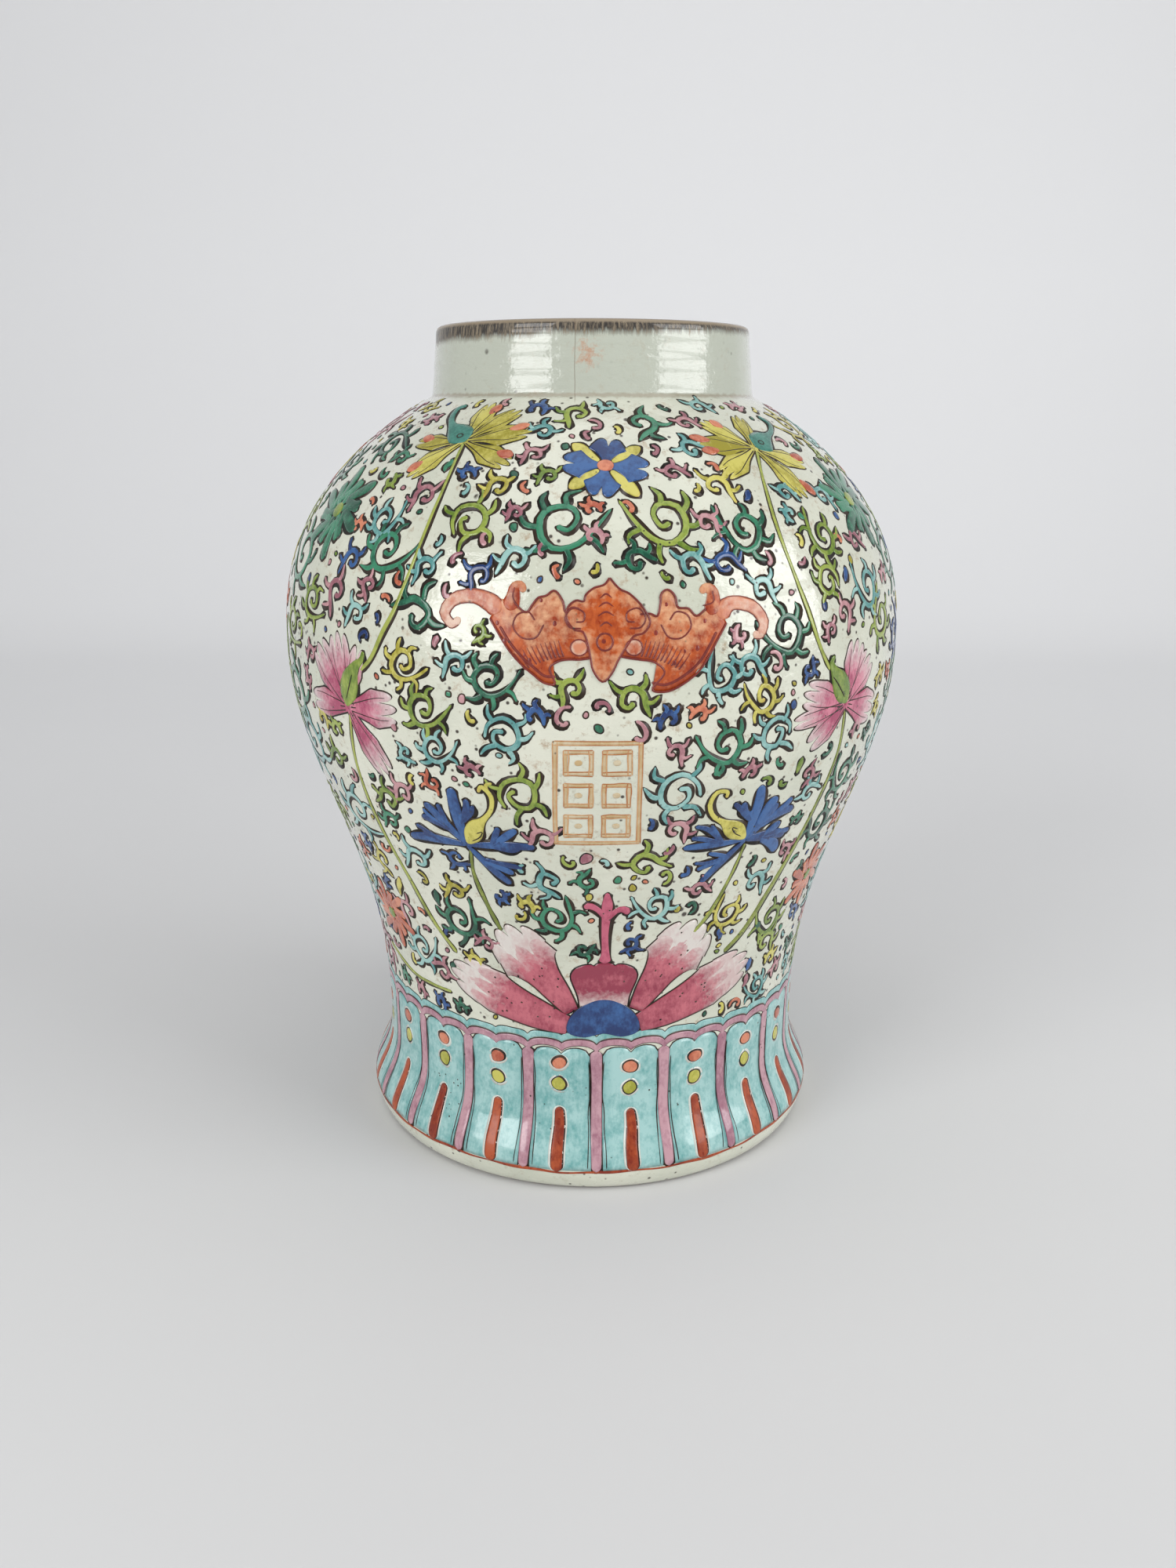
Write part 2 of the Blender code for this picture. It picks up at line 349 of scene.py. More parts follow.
def smooth_line(points, n, gather=0.0):
    """n places on a smooth line through the given points: a cubic between each two, whose slope at a point is
    half the step between its neighbours. With gather, places crowd towards both ends."""
    given_points = numbers(points)
    x = np.linspace(0, 1, n)
    t = (x - gather * np.sin(2 * np.pi * x)) * (len(given_points) - 1)
    i = np.clip(t.astype(int), 0, len(given_points) - 2)
    f = (t - i)[:, None]
    slopes = np.gradient(given_points, axis=0)
    near, far = given_points[i], given_points[i + 1]
    blend = f * f * (3 - 2 * f)
    return near + (far - near) * blend + slopes[i] * f * (1 - f) ** 2 - slopes[i + 1] * f**2 * (1 - f)


def stroke(points, n, wider=0.0):
    """The two edges of a brush stroke: a smooth line with a half-width at each given point (x, y, half-width),
    drawn in as a half circle at both ends."""
    line = smooth_line(points, n, 0.10)
    way = np.gradient(line[:, :2], axis=0)
    way /= np.hypot(*way.T)[:, None] + 1e-9
    half = np.maximum(line[:, 2], 0.12) + wider
    line[[0, -1], :2] += np.stack([-way[0], way[-1]]) * np.mean(wider)
    run = np.concatenate([[0], np.cumsum(np.hypot(*np.diff(line[:, :2], axis=0).T))])
    tip = np.clip(np.minimum(run, run[-1] - run) / half, 0.02, 1)
    aside = np.stack([-way[:, 1], way[:, 0]], 1) * (half * np.sqrt(tip * (2 - tip)))[:, None]
    return line[:, :2] - aside, line[:, :2] + aside


def settle(spot, flat, high):
    """Where local places (x round the jar, y up its wall, in millimetres) lie on the jar, for a motif at spot
    (azimuth, height, size, turn in degrees; a negative size mirrors it), and their unrolled map."""
    azimuth, z, size, turned = spot
    x, y = flat[..., 0] * size, flat[..., 1] * abs(size)
    c, s = np.cos(np.radians(turned)), np.sin(np.radians(turned))
    run = wall_run(z) + x * s + y * c
    angle = np.radians(azimuth) + (x * c - y * s) / radius_at(run)
    shown = angle - np.radians(azimuth - (azimuth + 180) % 360 + 180)
    unrolled = np.stack([(shown / np.pi + MAP_HALF) / (2 * MAP_HALF), run / outer_run[-1]], -1)
    column = (np.degrees(angle) * HALF_DEGREES).astype(int) % len(painted)
    painted[column, np.clip(run, 0, painted.shape[1] - 1).astype(int)] = True
    return on_wall(angle, run, high).reshape(-1, 3), np.clip(unrolled, 0, 1).reshape(-1, 2)


def lay(colour, spot, spread, lift, reach=None, tone=0.5):
    """One closed sheet of enamel from a grid of local places, rows along it and columns across, each with its
    lift. The underside repeats the outer columns, or all of them under a wide sheet, sunk in the glaze."""
    rows, columns = spread.shape[:2]
    wide = columns >= 8
    below = slice(None) if wide else [0, -1]
    under = spread[:, below][:, ::-1]
    flat = np.concatenate([spread, under], 1)
    high = np.concatenate([lift, np.full(under.shape[:2], SUNK)], 1)
    base = np.arange(high.size).reshape(high.shape)
    ahead = np.roll(base, -1, 1)
    quads = np.stack([base[:-1], ahead[:-1], ahead[1:], base[1:]], -1).reshape(-1, 4)
    caps = [base[0].tolist(), base[-1][::-1].tolist()]
    if wide:
        top, foot = base[[0, -1], :columns], base[[0, -1], columns:][:, ::-1]
        caps = np.stack([top[:, :-1], foot[:, :-1], foot[:, 1:], top[:, 1:]], -1).reshape(-1, 4).tolist()
    along = np.broadcast_to(np.linspace(0, 1, rows)[:, None] if reach is None else reach, (rows, columns))
    across = np.abs(np.linspace(-1, 1, columns))[None] + 0 * along
    along, across = (np.concatenate([w, w[:, below][:, ::-1]], 1).ravel() for w in (along, across))
    places, unrolled = settle(spot, flat, high)
    tones = np.full(high.size, tone)
    coats.setdefault(colour, []).append((places, quads, caps, along, across, tones, unrolled))


def dome(edge_a, edge_b, columns, lift, crown):
    """A grid between two edges and its lift: across it, a half-ellipse crown over a steep little edge."""
    c = np.sin(np.linspace(-1, 1, columns) * np.pi / 2)[None, :, None]
    spread = (edge_a[:, None] * (1 - c) + edge_b[:, None] * (1 + c)) / 2
    width = np.hypot(*(edge_b - edge_a).T)[:, None]
    rise = crown * np.clip(width / 1.6, 0.1, 1) * rounded(c[..., 0])
    return spread, lift + rise


def turned_back(way, spot):
    """A direction on the jar (right, up) in the local terms of a motif at this spot."""
    c, s = np.cos(np.radians(spot[3])), np.sin(np.radians(spot[3]))
    return np.array([(way[0] * c + way[1] * s) * np.sign(spot[2]), way[1] * c - way[0] * s])


def brush(colour, spot, points, n, outline=0.86, level=0.0, crown=COAT_CROWN, tone=None):
    """A stroke of enamel over a slightly wider stroke of ink, strayed at random and down-right as a painted
    shadow.
    """
    tone = rng.random() if tone is None else tone
    if outline:
        uneven = 1 + 0.6 * np.sin(np.linspace(0, n * 0.55, n) + rng.random() * 6)
        a, b = stroke(points, n, outline / abs(spot[2]) * uneven)
        # painted shadow: besides its random stray, the ink is always shifted down and to the right on the jar,
        # so it shows as a shadow of the raised enamel
        stray = (rng.normal(0, 0.18, 2) + turned_back([0.16, -0.2], spot)) / abs(spot[2])
        lay("ink", spot, *dome(a + stray, b + stray, 2, INK_LIFT + level * 0.5, 0.0), tone=tone)
    lay(colour, spot, *dome(*stroke(points, n), 5, COAT_LIFT + level, crown), tone=tone)


def ink(spot, points, n=10, level=0.30, colour="ink"):
    """A thin drawn line on top of the enamel."""
    lay(colour, spot, *dome(*stroke(points, n), 2, COAT_LIFT + level, 0.0))


def blob(colour, spot, rim, n, level, crown, outline, tone=None, rings=5):
    """A pool of enamel inside a closed smooth line: rings that shrink towards the middle, each a share of the
    way out, with the lift rising as a half ellipse."""
    rim = numbers(rim)
    count = len(rim)
    closed = smooth_line(np.concatenate([rim[-2:], rim, rim[:3]]), (count + 4) * 12 + 1)
    closed = closed[24 : 24 + count * 12]
    closed = closed[np.linspace(0, len(closed), n, endpoint=False).astype(int)]
    middle = closed.mean(0)
    tone = rng.random() if tone is None else tone
    edging = ("ink", outline / abs(spot[2]), INK_LIFT + level * 0.5, 0.0, 2)
    sheets = [edging, (colour, 0.0, COAT_LIFT + level, crown, rings)]
    for name, grow, low, high, rings in sheets[0 if outline else 1 :]:
        out = closed - middle
        edge = closed + out / (np.hypot(*out.T)[:, None] + 1e-9) * grow
        share = np.cos(np.linspace(0, 1, rings + 1)[:-1] * np.pi / 2)[:, None, None]
        spread = middle + (edge[None] - middle) * share
        lift = low + high * rounded(share[..., 0]) + np.zeros((rings, n))
        pool(name, spot, spread, lift, tone)


def pool(colour, spot, spread, lift, tone):
    """The closed mesh of a blob: its rings from the middle out, the same rings back in sunk in the glaze, and a
    point at each middle."""
    rings, n = lift.shape
    flat = np.concatenate([spread[::-1], spread]).reshape(-1, 2)
    flat = np.concatenate([flat, np.repeat(spread[-1].mean(0)[None], 2, 0)])
    high = np.concatenate([lift[::-1].ravel(), np.full(lift.size, SUNK), [lift[-1].mean(), SUNK]])
    base = np.arange(2 * rings * n).reshape(2 * rings, n)
    ahead = np.roll(base, -1, 1)
    quads = np.stack([base[:-1], ahead[:-1], ahead[1:], base[1:]], -1).reshape(-1, 4)
    caps = np.stack([np.full(n, base.size), ahead[0], base[0]], 1).tolist()
    caps += np.stack([np.full(n, base.size + 1), base[-1], ahead[-1]], 1).tolist()
    share = np.linspace(0, 1, rings)
    share = np.append(np.repeat(np.concatenate([share, share[::-1]]), n), [0, 0])
    places, unrolled = settle(spot, flat, high)
    tones = np.full(len(flat), tone)
    coats.setdefault(colour, []).append((places, quads, caps, share, share, tones, unrolled))


def petal(colour, spot, length, halves, lobes, notch, droop, bend=0.0, fade=1.0, level=0.0, veins=0):
    """A petal as a fan that runs up from the spot: half-widths given from its base to its tip, bent sideways by
    so many degrees, its tip drooping towards its sides and cut into lobes by notches."""
    columns = 8 * lobes + 1
    v = np.linspace(-1, 1, columns)[None]
    cut = droop * v**2 + notch * (1 - np.abs(np.sin(lobes * np.pi * (v + 1) / 2)) ** 0.45)
    tone = rng.random()
    sheets = ("ink", PETAL_OUTLINE / abs(spot[2]), INK_LIFT, 0.0, 10), (colour, 0.0, COAT_LIFT, 0.2, 16)
    for name, grow, low, crown, rows in sheets:
        t = np.linspace(0, 1, rows)[:, None]
        half = smooth_line(numbers(halves).reshape(-1, 1), rows)
        edge = rounded(v) * rounded(np.maximum(t, 1 - t), 8, 0.98)
        run = (length + 2 * grow) * t * (1 - cut * t**2) - grow
        side = v * (half + grow)
        lean = np.radians(bend) * t
        c, s = np.cos(lean), np.sin(lean)
        spread = np.stack([side * c + run * s, run * c - side * s], -1)
        reach = t if fade > 0 else 1 - t
        lay(name, spot, spread, low + level * (1 if crown else 0.5) + crown * edge, reach * abs(fade), tone)
    for vein in np.linspace(-0.62, 0.62, veins):
        column = int((vein + 1) / 2 * (columns - 1) + 0.5)
        line = np.c_[spread[1:-2:3, column], np.linspace(0.24, 0.12, 5)]
        ink(spot, line, 14, level + 0.18)

# The lappet band round the skirt. Twenty-one upright panels of turquoise stand between mauve bars that spread
# at the top into a scalloped edge, with a turquoise wave over it and an iron-red line under it. Each panel has
# a coral oval, a yellow oval and a red tongue, painted in spaces left in the turquoise.
PANELS, FIRST_BAR = 21, 1.4
PITCH = 360 / PANELS
HALF_PANEL = PITCH / 2 - 1.5
PANEL_FOOT, PANEL_HEAD = 10.4, 63.2
BAND = (0, PANEL_FOOT, 1, 0)


def round_jar(azimuth, z):
    """Local places, for the spot BAND, of azimuths in degrees and heights."""
    run = wall_run(z)
    return np.stack([np.radians(azimuth) * radius_at(run), run - wall_run(PANEL_FOOT)], -1)


def scallop(azimuth):
    """The panels' heads: two round lobes to a panel, a small notch between them and a deep one at the bar."""
    aside = (azimuth - FIRST_BAR) % PITCH / PITCH * 2 - 1
    return -2.8 * (1 - np.abs(np.sin(np.pi * aside)) ** 0.55) - 1.0 * np.abs(aside) ** 12


def oval(half_wide, half_high, n=8, at=(0, 0), closed=False):
    """n places round an oval, and the first again if it is closed."""
    a = np.linspace(0, 2 * np.pi, n + 1)[: n + closed]
    return np.stack([half_wide * np.cos(a), half_high * np.sin(a)], 1) + at


for k in range(PANELS):
    middle = FIRST_BAR + (k + 0.5) * PITCH
    rows, across = np.linspace(0, 1, 25)[:, None], np.linspace(-1, 1, 15)[None]
    azimuth = middle + HALF_PANEL * across * (1 + 0.02 * np.sin(5 * rows + k)) + 0.15 * np.sin(3 * rows + 2 * k)
    head = PANEL_HEAD + scallop(FIRST_BAR + (across + 1) / 2 * PITCH) + 0.5 * np.sin(k * 2.4)
    for name, grow, low, crown in (("ink", 1.035, INK_LIFT, 0), ("turquoise_band", 1, COAT_LIFT, 0.08)):
        z = PANEL_FOOT + (head + (grow - 1) * 14 - PANEL_FOOT) * rows
        places = round_jar(middle + (azimuth - middle) * grow, z)
        edge = rounded(across) * rounded(2 * rows - 1, 8)
        lay(name, BAND, places, low + crown * edge, tone=0.55 + 0.2 * rng.random())
    centre = middle + rng.normal(0, 0.25)
    lean, drop = rng.normal(0, 14), rng.normal(0, 0.9)
    for colour, z, wide, tall in (("coral", 54.3, 3.1, 2.5), ("yellow_green", 44.6, 2.8, 3.0)):
        z = z + drop
        rim = oval(wide, tall) * (1 + rng.normal(0, 0.05, (8, 1)))
        blob("halo", (centre, z, 1, lean), rim * 1.5, 24, 0.08, 0, 0, rings=2)
        stray = rng.normal(0, 0.28, 2)
        blob("ink", (centre + stray[0] * 0.4, z + stray[1], 1, lean), rim * 1.22, 24, 0.12, 0, 0, rings=2)
        blob(colour, (centre + rng.normal(0, 0.1), z, 1, lean), rim, 24, 0.16, 0.2, 0, rings=4)
    top = 36 + 1.6 * np.sin(k * 1.7) - PANEL_FOOT
    sway = rng.normal(0, 0.4), rng.normal(0, 0.4)
    tongue = [(0, -0.6, 2.5), (sway[0], top * 0.35, 2.4), (sway[1], top * 0.7, 2.1), (0, top, 1.7)]
    foot = (centre, PANEL_FOOT, 1, 0)
    halo = [(x, y + 0.7 * (y > 9), w + 1.15) for x, y, w in tongue]
    lay("halo", foot, *dome(*stroke(halo, 16), 5, COAT_LIFT + 0.10, 0.02))
    edged = [(x + 0.2, y + 0.2 * (y > 9), w + 0.36) for x, y, w in tongue]
    lay("ink", foot, *dome(*stroke(edged, 16), 2, COAT_LIFT + 0.13, 0.0))
    brush("iron_red", foot, tongue, 16, 0, 0.16, 0.08)
    for hand in (-1, 1):
        hairline = [
            (hand * (HALF_PANEL * 1.62 + rng.normal(0, 0.3)), y, 0.13 + 0.12 * rng.random())
            for y in np.linspace(1, 48, 7)
        ]
        ink((middle, PANEL_FOOT, 1, 0), hairline, 20, 0.10)
    bar = np.c_[rng.normal(0, 0.25, 5) * 0.6, [-0.4, 13, 27, 40, 53], [2.0, 2.3, 2.2, 2.15, 2.6]]
    brush("mauve", (middle - PITCH / 2, PANEL_FOOT, 1, 0), bar, 24, 0.55, 0.04, 0.14)

HOOP_COLUMNS, STEPS_TO_A_PANEL = 5, 24
azimuth = np.linspace(-180, 180, PANELS * STEPS_TO_A_PANEL + 1)
angle = np.radians(azimuth)
hump = scallop(azimuth) + 0.5 * np.sin(angle * 4 + 1)


def hoop(colour, low, high, lift, crown):
    """A band of enamel right round the jar, between two lines of heights."""
    across = (1 - np.cos(np.linspace(0, 1, HOOP_COLUMNS) * np.pi)) / 2
    z = low[:, None] * (1 - across) + high[:, None] * across
    places = round_jar(np.repeat(azimuth[:, None], HOOP_COLUMNS, 1), z)
    lay(colour, BAND, places, lift + crown * rounded(np.linspace(-1, 1, HOOP_COLUMNS))[None] + 0 * z)


under_edge, over_edge = PANEL_HEAD + 0.7 + hump, PANEL_HEAD + 3.6 + hump * 0.72
wave = 0.35 * np.sin(angle * PANELS * 2)
shake = 0.35 * np.sin(angle * 9) + 0.3 * np.sin(angle * 31 + 2)
ragged = 10.2 + shake * 0.5 + 0.35 * np.sin(angle * 17)
hoop("ink", under_edge - 0.3, over_edge + 0.55, INK_LIFT, 0)
hoop("mauve", under_edge, over_edge, COAT_LIFT + 0.02, 0.16)
hoop("ink", over_edge + 2.9 + wave, over_edge + 3.9 + wave, INK_LIFT, 0)
hoop("turquoise_band", over_edge + 0.75, over_edge + 3.5 + wave, COAT_LIFT, 0.12)
hoop("iron_red", 9.2 + shake * 0.7, ragged, COAT_LIFT + 0.05, 0.04)

# The lotus that rises from the band on both faces: a half dome of blue seeds, a fan-shaped middle petal with a
# stalk and a finial, and two long petals on each side, rose at the base and white at their lobed tips.
FACES = (0, 180)
SEED_DOME = (
    "-14.6 1; -14.2 7; -10 12.6; -4.5 16; 0 16.9; 4.5 16; 10 12.6; 14.2 7; 14.6 1; 8 -1.2; 0 .6; -8 -1.2"
)
STALK = "0 35 3; .2 40 1.6; -.2 50 1.4; .2 60 1.9; .4 65 2.1; .2 70.5 .7"
FINIAL = "0 58 1.3; -3.4 62.2 1.2; -6.8 64 1.6; -8 62.4 1", "0 57 1.3; 4.4 61.6 1.2; 7.6 61.6 1.7; 8.2 59.4 1"
# azimuth, height, turn, length, five half-widths, bend and level of each side petal
LOTUS_PETALS = """-4.6 80.5 32 41  3 5.2 6.8 9.6 12.8  -4 .06; 10.8 81 -27 40  3 5.4 7.2 10 13.4  5 .06;
-5.4 73.6 71 49  4.2 6.6 8.2 9.6 10.6  3 .12; 11.6 74.2 -70 49  4.2 6.8 8.4 9.8 10.8  -3 .12"""
for side in FACES:
    heart = (side + 3, 69.6, 1, 0)
    blob("blue", heart, SEED_DOME, 56, 0.22, 0.3, 0.4, rings=7)
    petal("rose", (side + 3, 82.6, 1, 0), 22, "9.6 10.4 12.2 13.4 12.6", 3, 0.06, 0.14, fade=-1, level=0.02)
    brush("magenta", heart, STALK, 22, level=0.1)
    for fork_of_finial in FINIAL:
        brush("magenta", heart, fork_of_finial, 12, level=0.08)
    for azimuth, z, turned, length, *halves, bend, level in numbers(LOTUS_PETALS):
        spot = (side + azimuth, z, 1, turned)
        petal("rose_tip", spot, length + 7.5, np.array(halves) * 0.96, 4, 0.12, 0.18, bend, level=level - 0.04)
        petal("rose", spot, length, halves, 3, 0.2, 0.14, bend, level=level)
        for x, y in rng.normal(0, 1, (7, 2)) * [3.4, 9] + [np.sin(np.radians(bend)) * 22, length * 0.6]:
            speck_of_ink = [(x, y - 0.5, 0.28), (x + 0.2, y, 0.42), (x, y + 0.5, 0.24)]
            brush("ink", spot, speck_of_ink, 5, 0, level + 0.16)

# The stems: long bowed strokes of yellow-green that tie the flowers together. Each is given by azimuths,
# heights and half-widths.
STEMS = """-30.5 305 .9; -29.5 290 .9; -30 275 .95; -31 262 1; -33 248 1.3; -35.5 238 1.4; -38 228 1.3;
-41 222 1.1 / 39 302 1; 35.5 291 .95; 34 276 1; 35 260 1; 37 246 1.2; 39.5 232 1.2;
42 223 1 / -44.5 205 1; -46 185 1.2; -46 165 1.3; -44.5 148 1.4; -42 133 1.4; -38.5 115 1.5;
-33 101 1.3 / 47.5 205 1; 48.5 188 1.2; 47.5 168 1.4; 45.5 148 1.6; 42 128 1.9; 37.5 111 1.9;
32.5 102 1.4 / -23 155 .9; -23.5 143 1.1; -22 129 1.3; -19.8 117 1.2 / 30 155 .8; 29 142 .9;
26.5 126 1.3; 23 115 1.2 / -64 88 1; -52 81 1.1; -44 80 1.1; -37 80 1"""
STEM_SHARE = 0.64
for side in FACES:
    for stem in STEMS.split("/"):
        azimuth, z, half = numbers(stem).T
        run = wall_run(z)
        x = np.radians(azimuth) * radius_at(run)
        path = np.stack([x, run - wall_run(z.mean()), half * STEM_SHARE], 1)
        brush("stem", (side, z.mean(), 1, 0), path, 44, 0.34, 0.02)


# The flowers between the stems. Forked petals are fans cut deep into fingers, and each flower has a plump
# calyx whose tail curls away.
def fork(colour, spot, fingers, level=0.04):
    """A forked petal from rows of an angle, a length, a half-width and a curve, one for each finger. The first
    finger runs from the flower's base, and the others branch off it, each to its own tip."""
    root = np.zeros(2)
    for number, (angle, length, half, curve) in enumerate(numbers(fingers)):
        a = np.radians(angle)
        tip = np.array([np.sin(a), np.cos(a)]) * length
        way = tip - root
        aside = np.array([way[1], -way[0]]) / np.hypot(*way)
        steps = ((0.0, 0.4 if number == 0 else 0.75, 0), (0.35, 0.85, 0.35), (0.7, 0.95, 0.5), (1.0, 0.7, 0))
        points = [(*(root + way * t + aside * curve * b), half * w * 0.8) for t, w, b in steps]
        brush(colour, spot, points, 16, level=level)
        if number == 0:
            root = tip * 0.38


def bloom(colour, spot, rows, narrowed, notch, droop, **more):
    """A flower's petals from rows of a heading, a length, four half-widths and a number of lobes."""
    for heading, length, *halves, lobes in numbers(rows):
        halves = np.array(halves) * narrowed
        petal(colour, (*spot[:3], -heading), length, halves, int(lobes), notch, droop, level=0.04, **more)


# the forked petals of the right and left blue flowers, with slashes between them
PINKS = (
    """2 25 3.2 2; -16 19 2.4 -3; -28 21 1.6 0; -4 14 3.4 0 / 38 19 3.2 0; 30 21 3.4 -2; 50 25 2.3 2;
64 24 2.9 -3; 48 14 3.6 0 / 95 21 3.4 -2; 72 17 2.6 0; 90 23 1.9 0; 118 21 3.4 -3;
100 13 3.6 0 / -90 27 2.1 0; -80 25 1.5 1; -68 26 1.4 3; -62 20 1.4 0;
-84 16 2.6 0 / -140 24 2.3 1; -122 22 1.5 0; -112 22 1.1 -2; -105 16 1.3 0; -130 14 2.8 0""",
    """-4 26 3.3 -1; 10 22 1.9 2; 18 20 1.5 2; 0 15 3.4 0 / -42 23 2.6 1; -28 20 1.6 0; -50 22 1.3 -2;
-60 21 2.2 1; -44 12 3 0 / -92 27 2.7 2; -76 23 1.4 0; -84 20 2.6 0; -88 12 2.6 0 / 86 28 2.4 -1;
66 24 2.1 0; 56 18 1.7 0; 76 15 2.8 0; 88 22 1.7 2 / 138 23 2.3 1; 112 23 1.7 0; 124 21 2.1 0;
130 14 3 0""",
)
PINK_TAILS = (
    """-.6 .8 1; -5 4.5 3.7; -9 7.5 3.4; -13 10.5 1.3; -18 14 .9; -20.6 19.5 .95; -18.8 24.5 .9;
-14.5 24.4 .8; -14.2 21.8 .6""",
    ".8 .8 1; 3.5 5 3.6; 6 9.5 3.3; 9.5 13 1.3; 13.5 18 .9; 14.6 24 .95; 11.5 28 .9; 9.6 25.6 .6",
)
BELLY_BLOOMS = (
    """14 25 1.6 4 7 7.5 3; 46 24 1.6 4 7 7 3; 104 27 1.6 5 8 8 3; -74 27 1.8 4.5 7 7 3;
-128 24 1.6 4.5 6.5 6 2; -98 30 1.4 3 4 4 2""",
    """-10 29 1.6 4 7 7.5 3; -42 30 1.6 5 8 8 3; -92 28 1.8 4.5 6.5 6 2; 84 27 1.8 5 8 8 3;
148 30 1.6 4 6.5 6.5 3; 20 26 1.6 3 5 5 2""",
)
BELLY_TAILS = (
    ".6 .4 1.2; -2.4 4.5 4.6; -6 9.5 4.8; -9.6 14 2.2; -11.5 17.5 1.2; -10 20 .9",
    "-.6 .4 1.2; .8 5.5 4.8; 3 11 5; 6.4 16.5 2.4; 10 19.5 1.3; 11.5 23 .9",
)
BELLY_VEINS = "-2 3 .15; -6.4 8 .26; -10.5 12 .15", "0 3.5 .15; 2.6 9 .26; 4.6 13.5 .15"
SHOULDER_BLOOMS = (
    """-120 27 .8 2.6 5.6 4.9 3; -84 25 .8 2.8 6.4 5.6 3; -46 22 .8 2.4 5.2 4.6 3; 112 27 .8 2.6 5 4.2 2;
152 28 .8 2.8 5.8 5 3; 16 20 .8 2.2 4.8 4.6 3""",
    """116 27 .8 2.6 5.6 5 3; 76 26 .8 2.8 6.6 5.8 3; 38 24 .8 2.4 5.6 5 3; 2 24 .8 2.4 5.4 5.2 3;
-94 24 .8 2.4 5 4.4 2; -136 26 .8 2.8 5.8 5 3""",
)
SHOULDER_TAILS = (
    "2 -.6 3.4; 5.4 2.2 5.6; 9.4 4.8 4.4; 14 6.8 1.6; 19 9.4 1.2; 22.6 14 1.2; 19.6 18.6 1",
    ".6 -.2 3.2; -2.6 2.6 5.4; -6.6 5.6 4.4; -11 9 1.7; -14.5 14 1.3; -15.2 19.6 1.2; -12 22 1.1",
)
CORAL_TIPS = "-23 -1; -24 6; -10 15; 18 -22; 24 -6", "22 -7; 21 9; 4 21; -20 1; -18 -15"
for side in FACES:
    # blue pinks low on the body, with a yellow calyx
    pair = (side + 29.8, 157, 1, 0), (side - 23.6, 156.5, 1, 0)
    for spot, petals in zip(pair, PINKS):
        for fingers in petals.split("/"):
            fork("blue", spot, fingers)
    for spot, tail in zip(pair, PINK_TAILS):
        brush("yellow", spot, tail, 34, level=0.18)
    for spot, flip in zip(pair, (-1, 1)):
        ink(spot, numbers("3 2.4 .14; 6.6 4.6 .24; 8.2 7.4 .22; 5.6 6.4 .16") * [flip, 1, 1], level=0.42)
    # pink flowers at the belly, with a lime calyx
    pair = (side + 47.3, 208, 1, 0), (side - 44.6, 207, 1, 0)
    for spot, petals in zip(pair, BELLY_BLOOMS):
        bloom("pink_bloom", spot, petals, 0.92, 0.3, 0.1, veins=3)
    for spot, tail in zip(pair, BELLY_TAILS):
        brush("lime", spot, tail, 30, level=0.2)
    for spot, vein in zip(pair, BELLY_VEINS):
        ink(spot, vein, level=0.46)
    # yellow flowers on the shoulder, with a teal calyx and coral tips
    pair = (side + 38.8, 303, 1, 0), (side - 30.6, 305.4, 1, 0)
    for spot, petals in zip(pair, SHOULDER_BLOOMS):
        bloom("yellow", spot, petals, 0.86, 0.25, 0.16, fade=0.6, veins=2)
    for spot, tail in zip(pair, SHOULDER_TAILS):
        brush("teal", spot, tail, 34, level=0.24)
    for spot, x in zip(pair, (5.8, -3.2)):
        a = np.linspace(0, 6.3, 8)
        ink(spot, np.c_[x + 1.3 * np.sin(a), 2.6 + 1.1 * np.cos(a), np.full(8, 0.24)], 20, 0.46)
    for spot, tips in zip(pair, CORAL_TIPS):
        for x, y in numbers(tips):
            tip = [(x * 0.76, y * 0.76, 0.7), (x * 0.93, y * 0.93, 2.2), (x * 1.08, y * 1.08, 1.0)]
            brush("coral", spot, tip, 10, 0.3, 0.24)


def button(colour, spot, wide, tall, n=24, level=0.3, outline=0.3):
    """A domed oval at the heart of a flower."""
    blob(colour, spot, oval(wide, tall), n, level, 0.3, outline, rings=4)


# The four-petalled blossom under the neck, blue with yellow sepals between and a coral button.
for side in FACES:
    spot = (side + 2.5, 297.5, 1, 0)
    for quarter, long in ((8, 0.98), (97, 1.12), (190, 1.0), (276, 1.1)):
        petal("blue", (*spot[:3], -quarter), 14.2 * long, "0.8 1.9 4.2 6.8 6", 2, 0.32, 0.14, level=0.12)
    for diagonal, long in ((54, 1.0), (140, 1.12), (-46, 1.0), (-128, 1.05)):
        a = np.radians(diagonal)
        reach = [(3, 0.8), (7, 1.7), (12.5, 2.6), (16 * long, 1.0)]
        brush("yellow", spot, [(r * np.sin(a), r * np.cos(a), w) for r, w in reach], 14, level=0.02)
    button("coral", spot, 3.0, 2.7)

# The bat, painted in thin iron red with the brush's own shading: a body with its head down, scalloped wings,
# and long curled wing tips, over which the lines and the combs of the wings are drawn in darker red.
BAT_BODY = numbers(
    """2.5 18.8; .6 16.4; -3 15.2; -5.8 12.8; -6.6 10.6; -9.4 10.8; -12.2 8.2; -12.4 4.2; -9.8 .8;
-6.8 0; -5.2 -4; -4.2 -9; -3.2 -13.5; 0 -17.4; 3.2 -14.5; 5.6 -9.5; 8.4 -5; 11 -1.4; 14.4 -.4;
16.6 3.2; 14.6 7.6; 12 10.8; 9 13.4; 6.4 14.6; 4.4 16.4"""
)
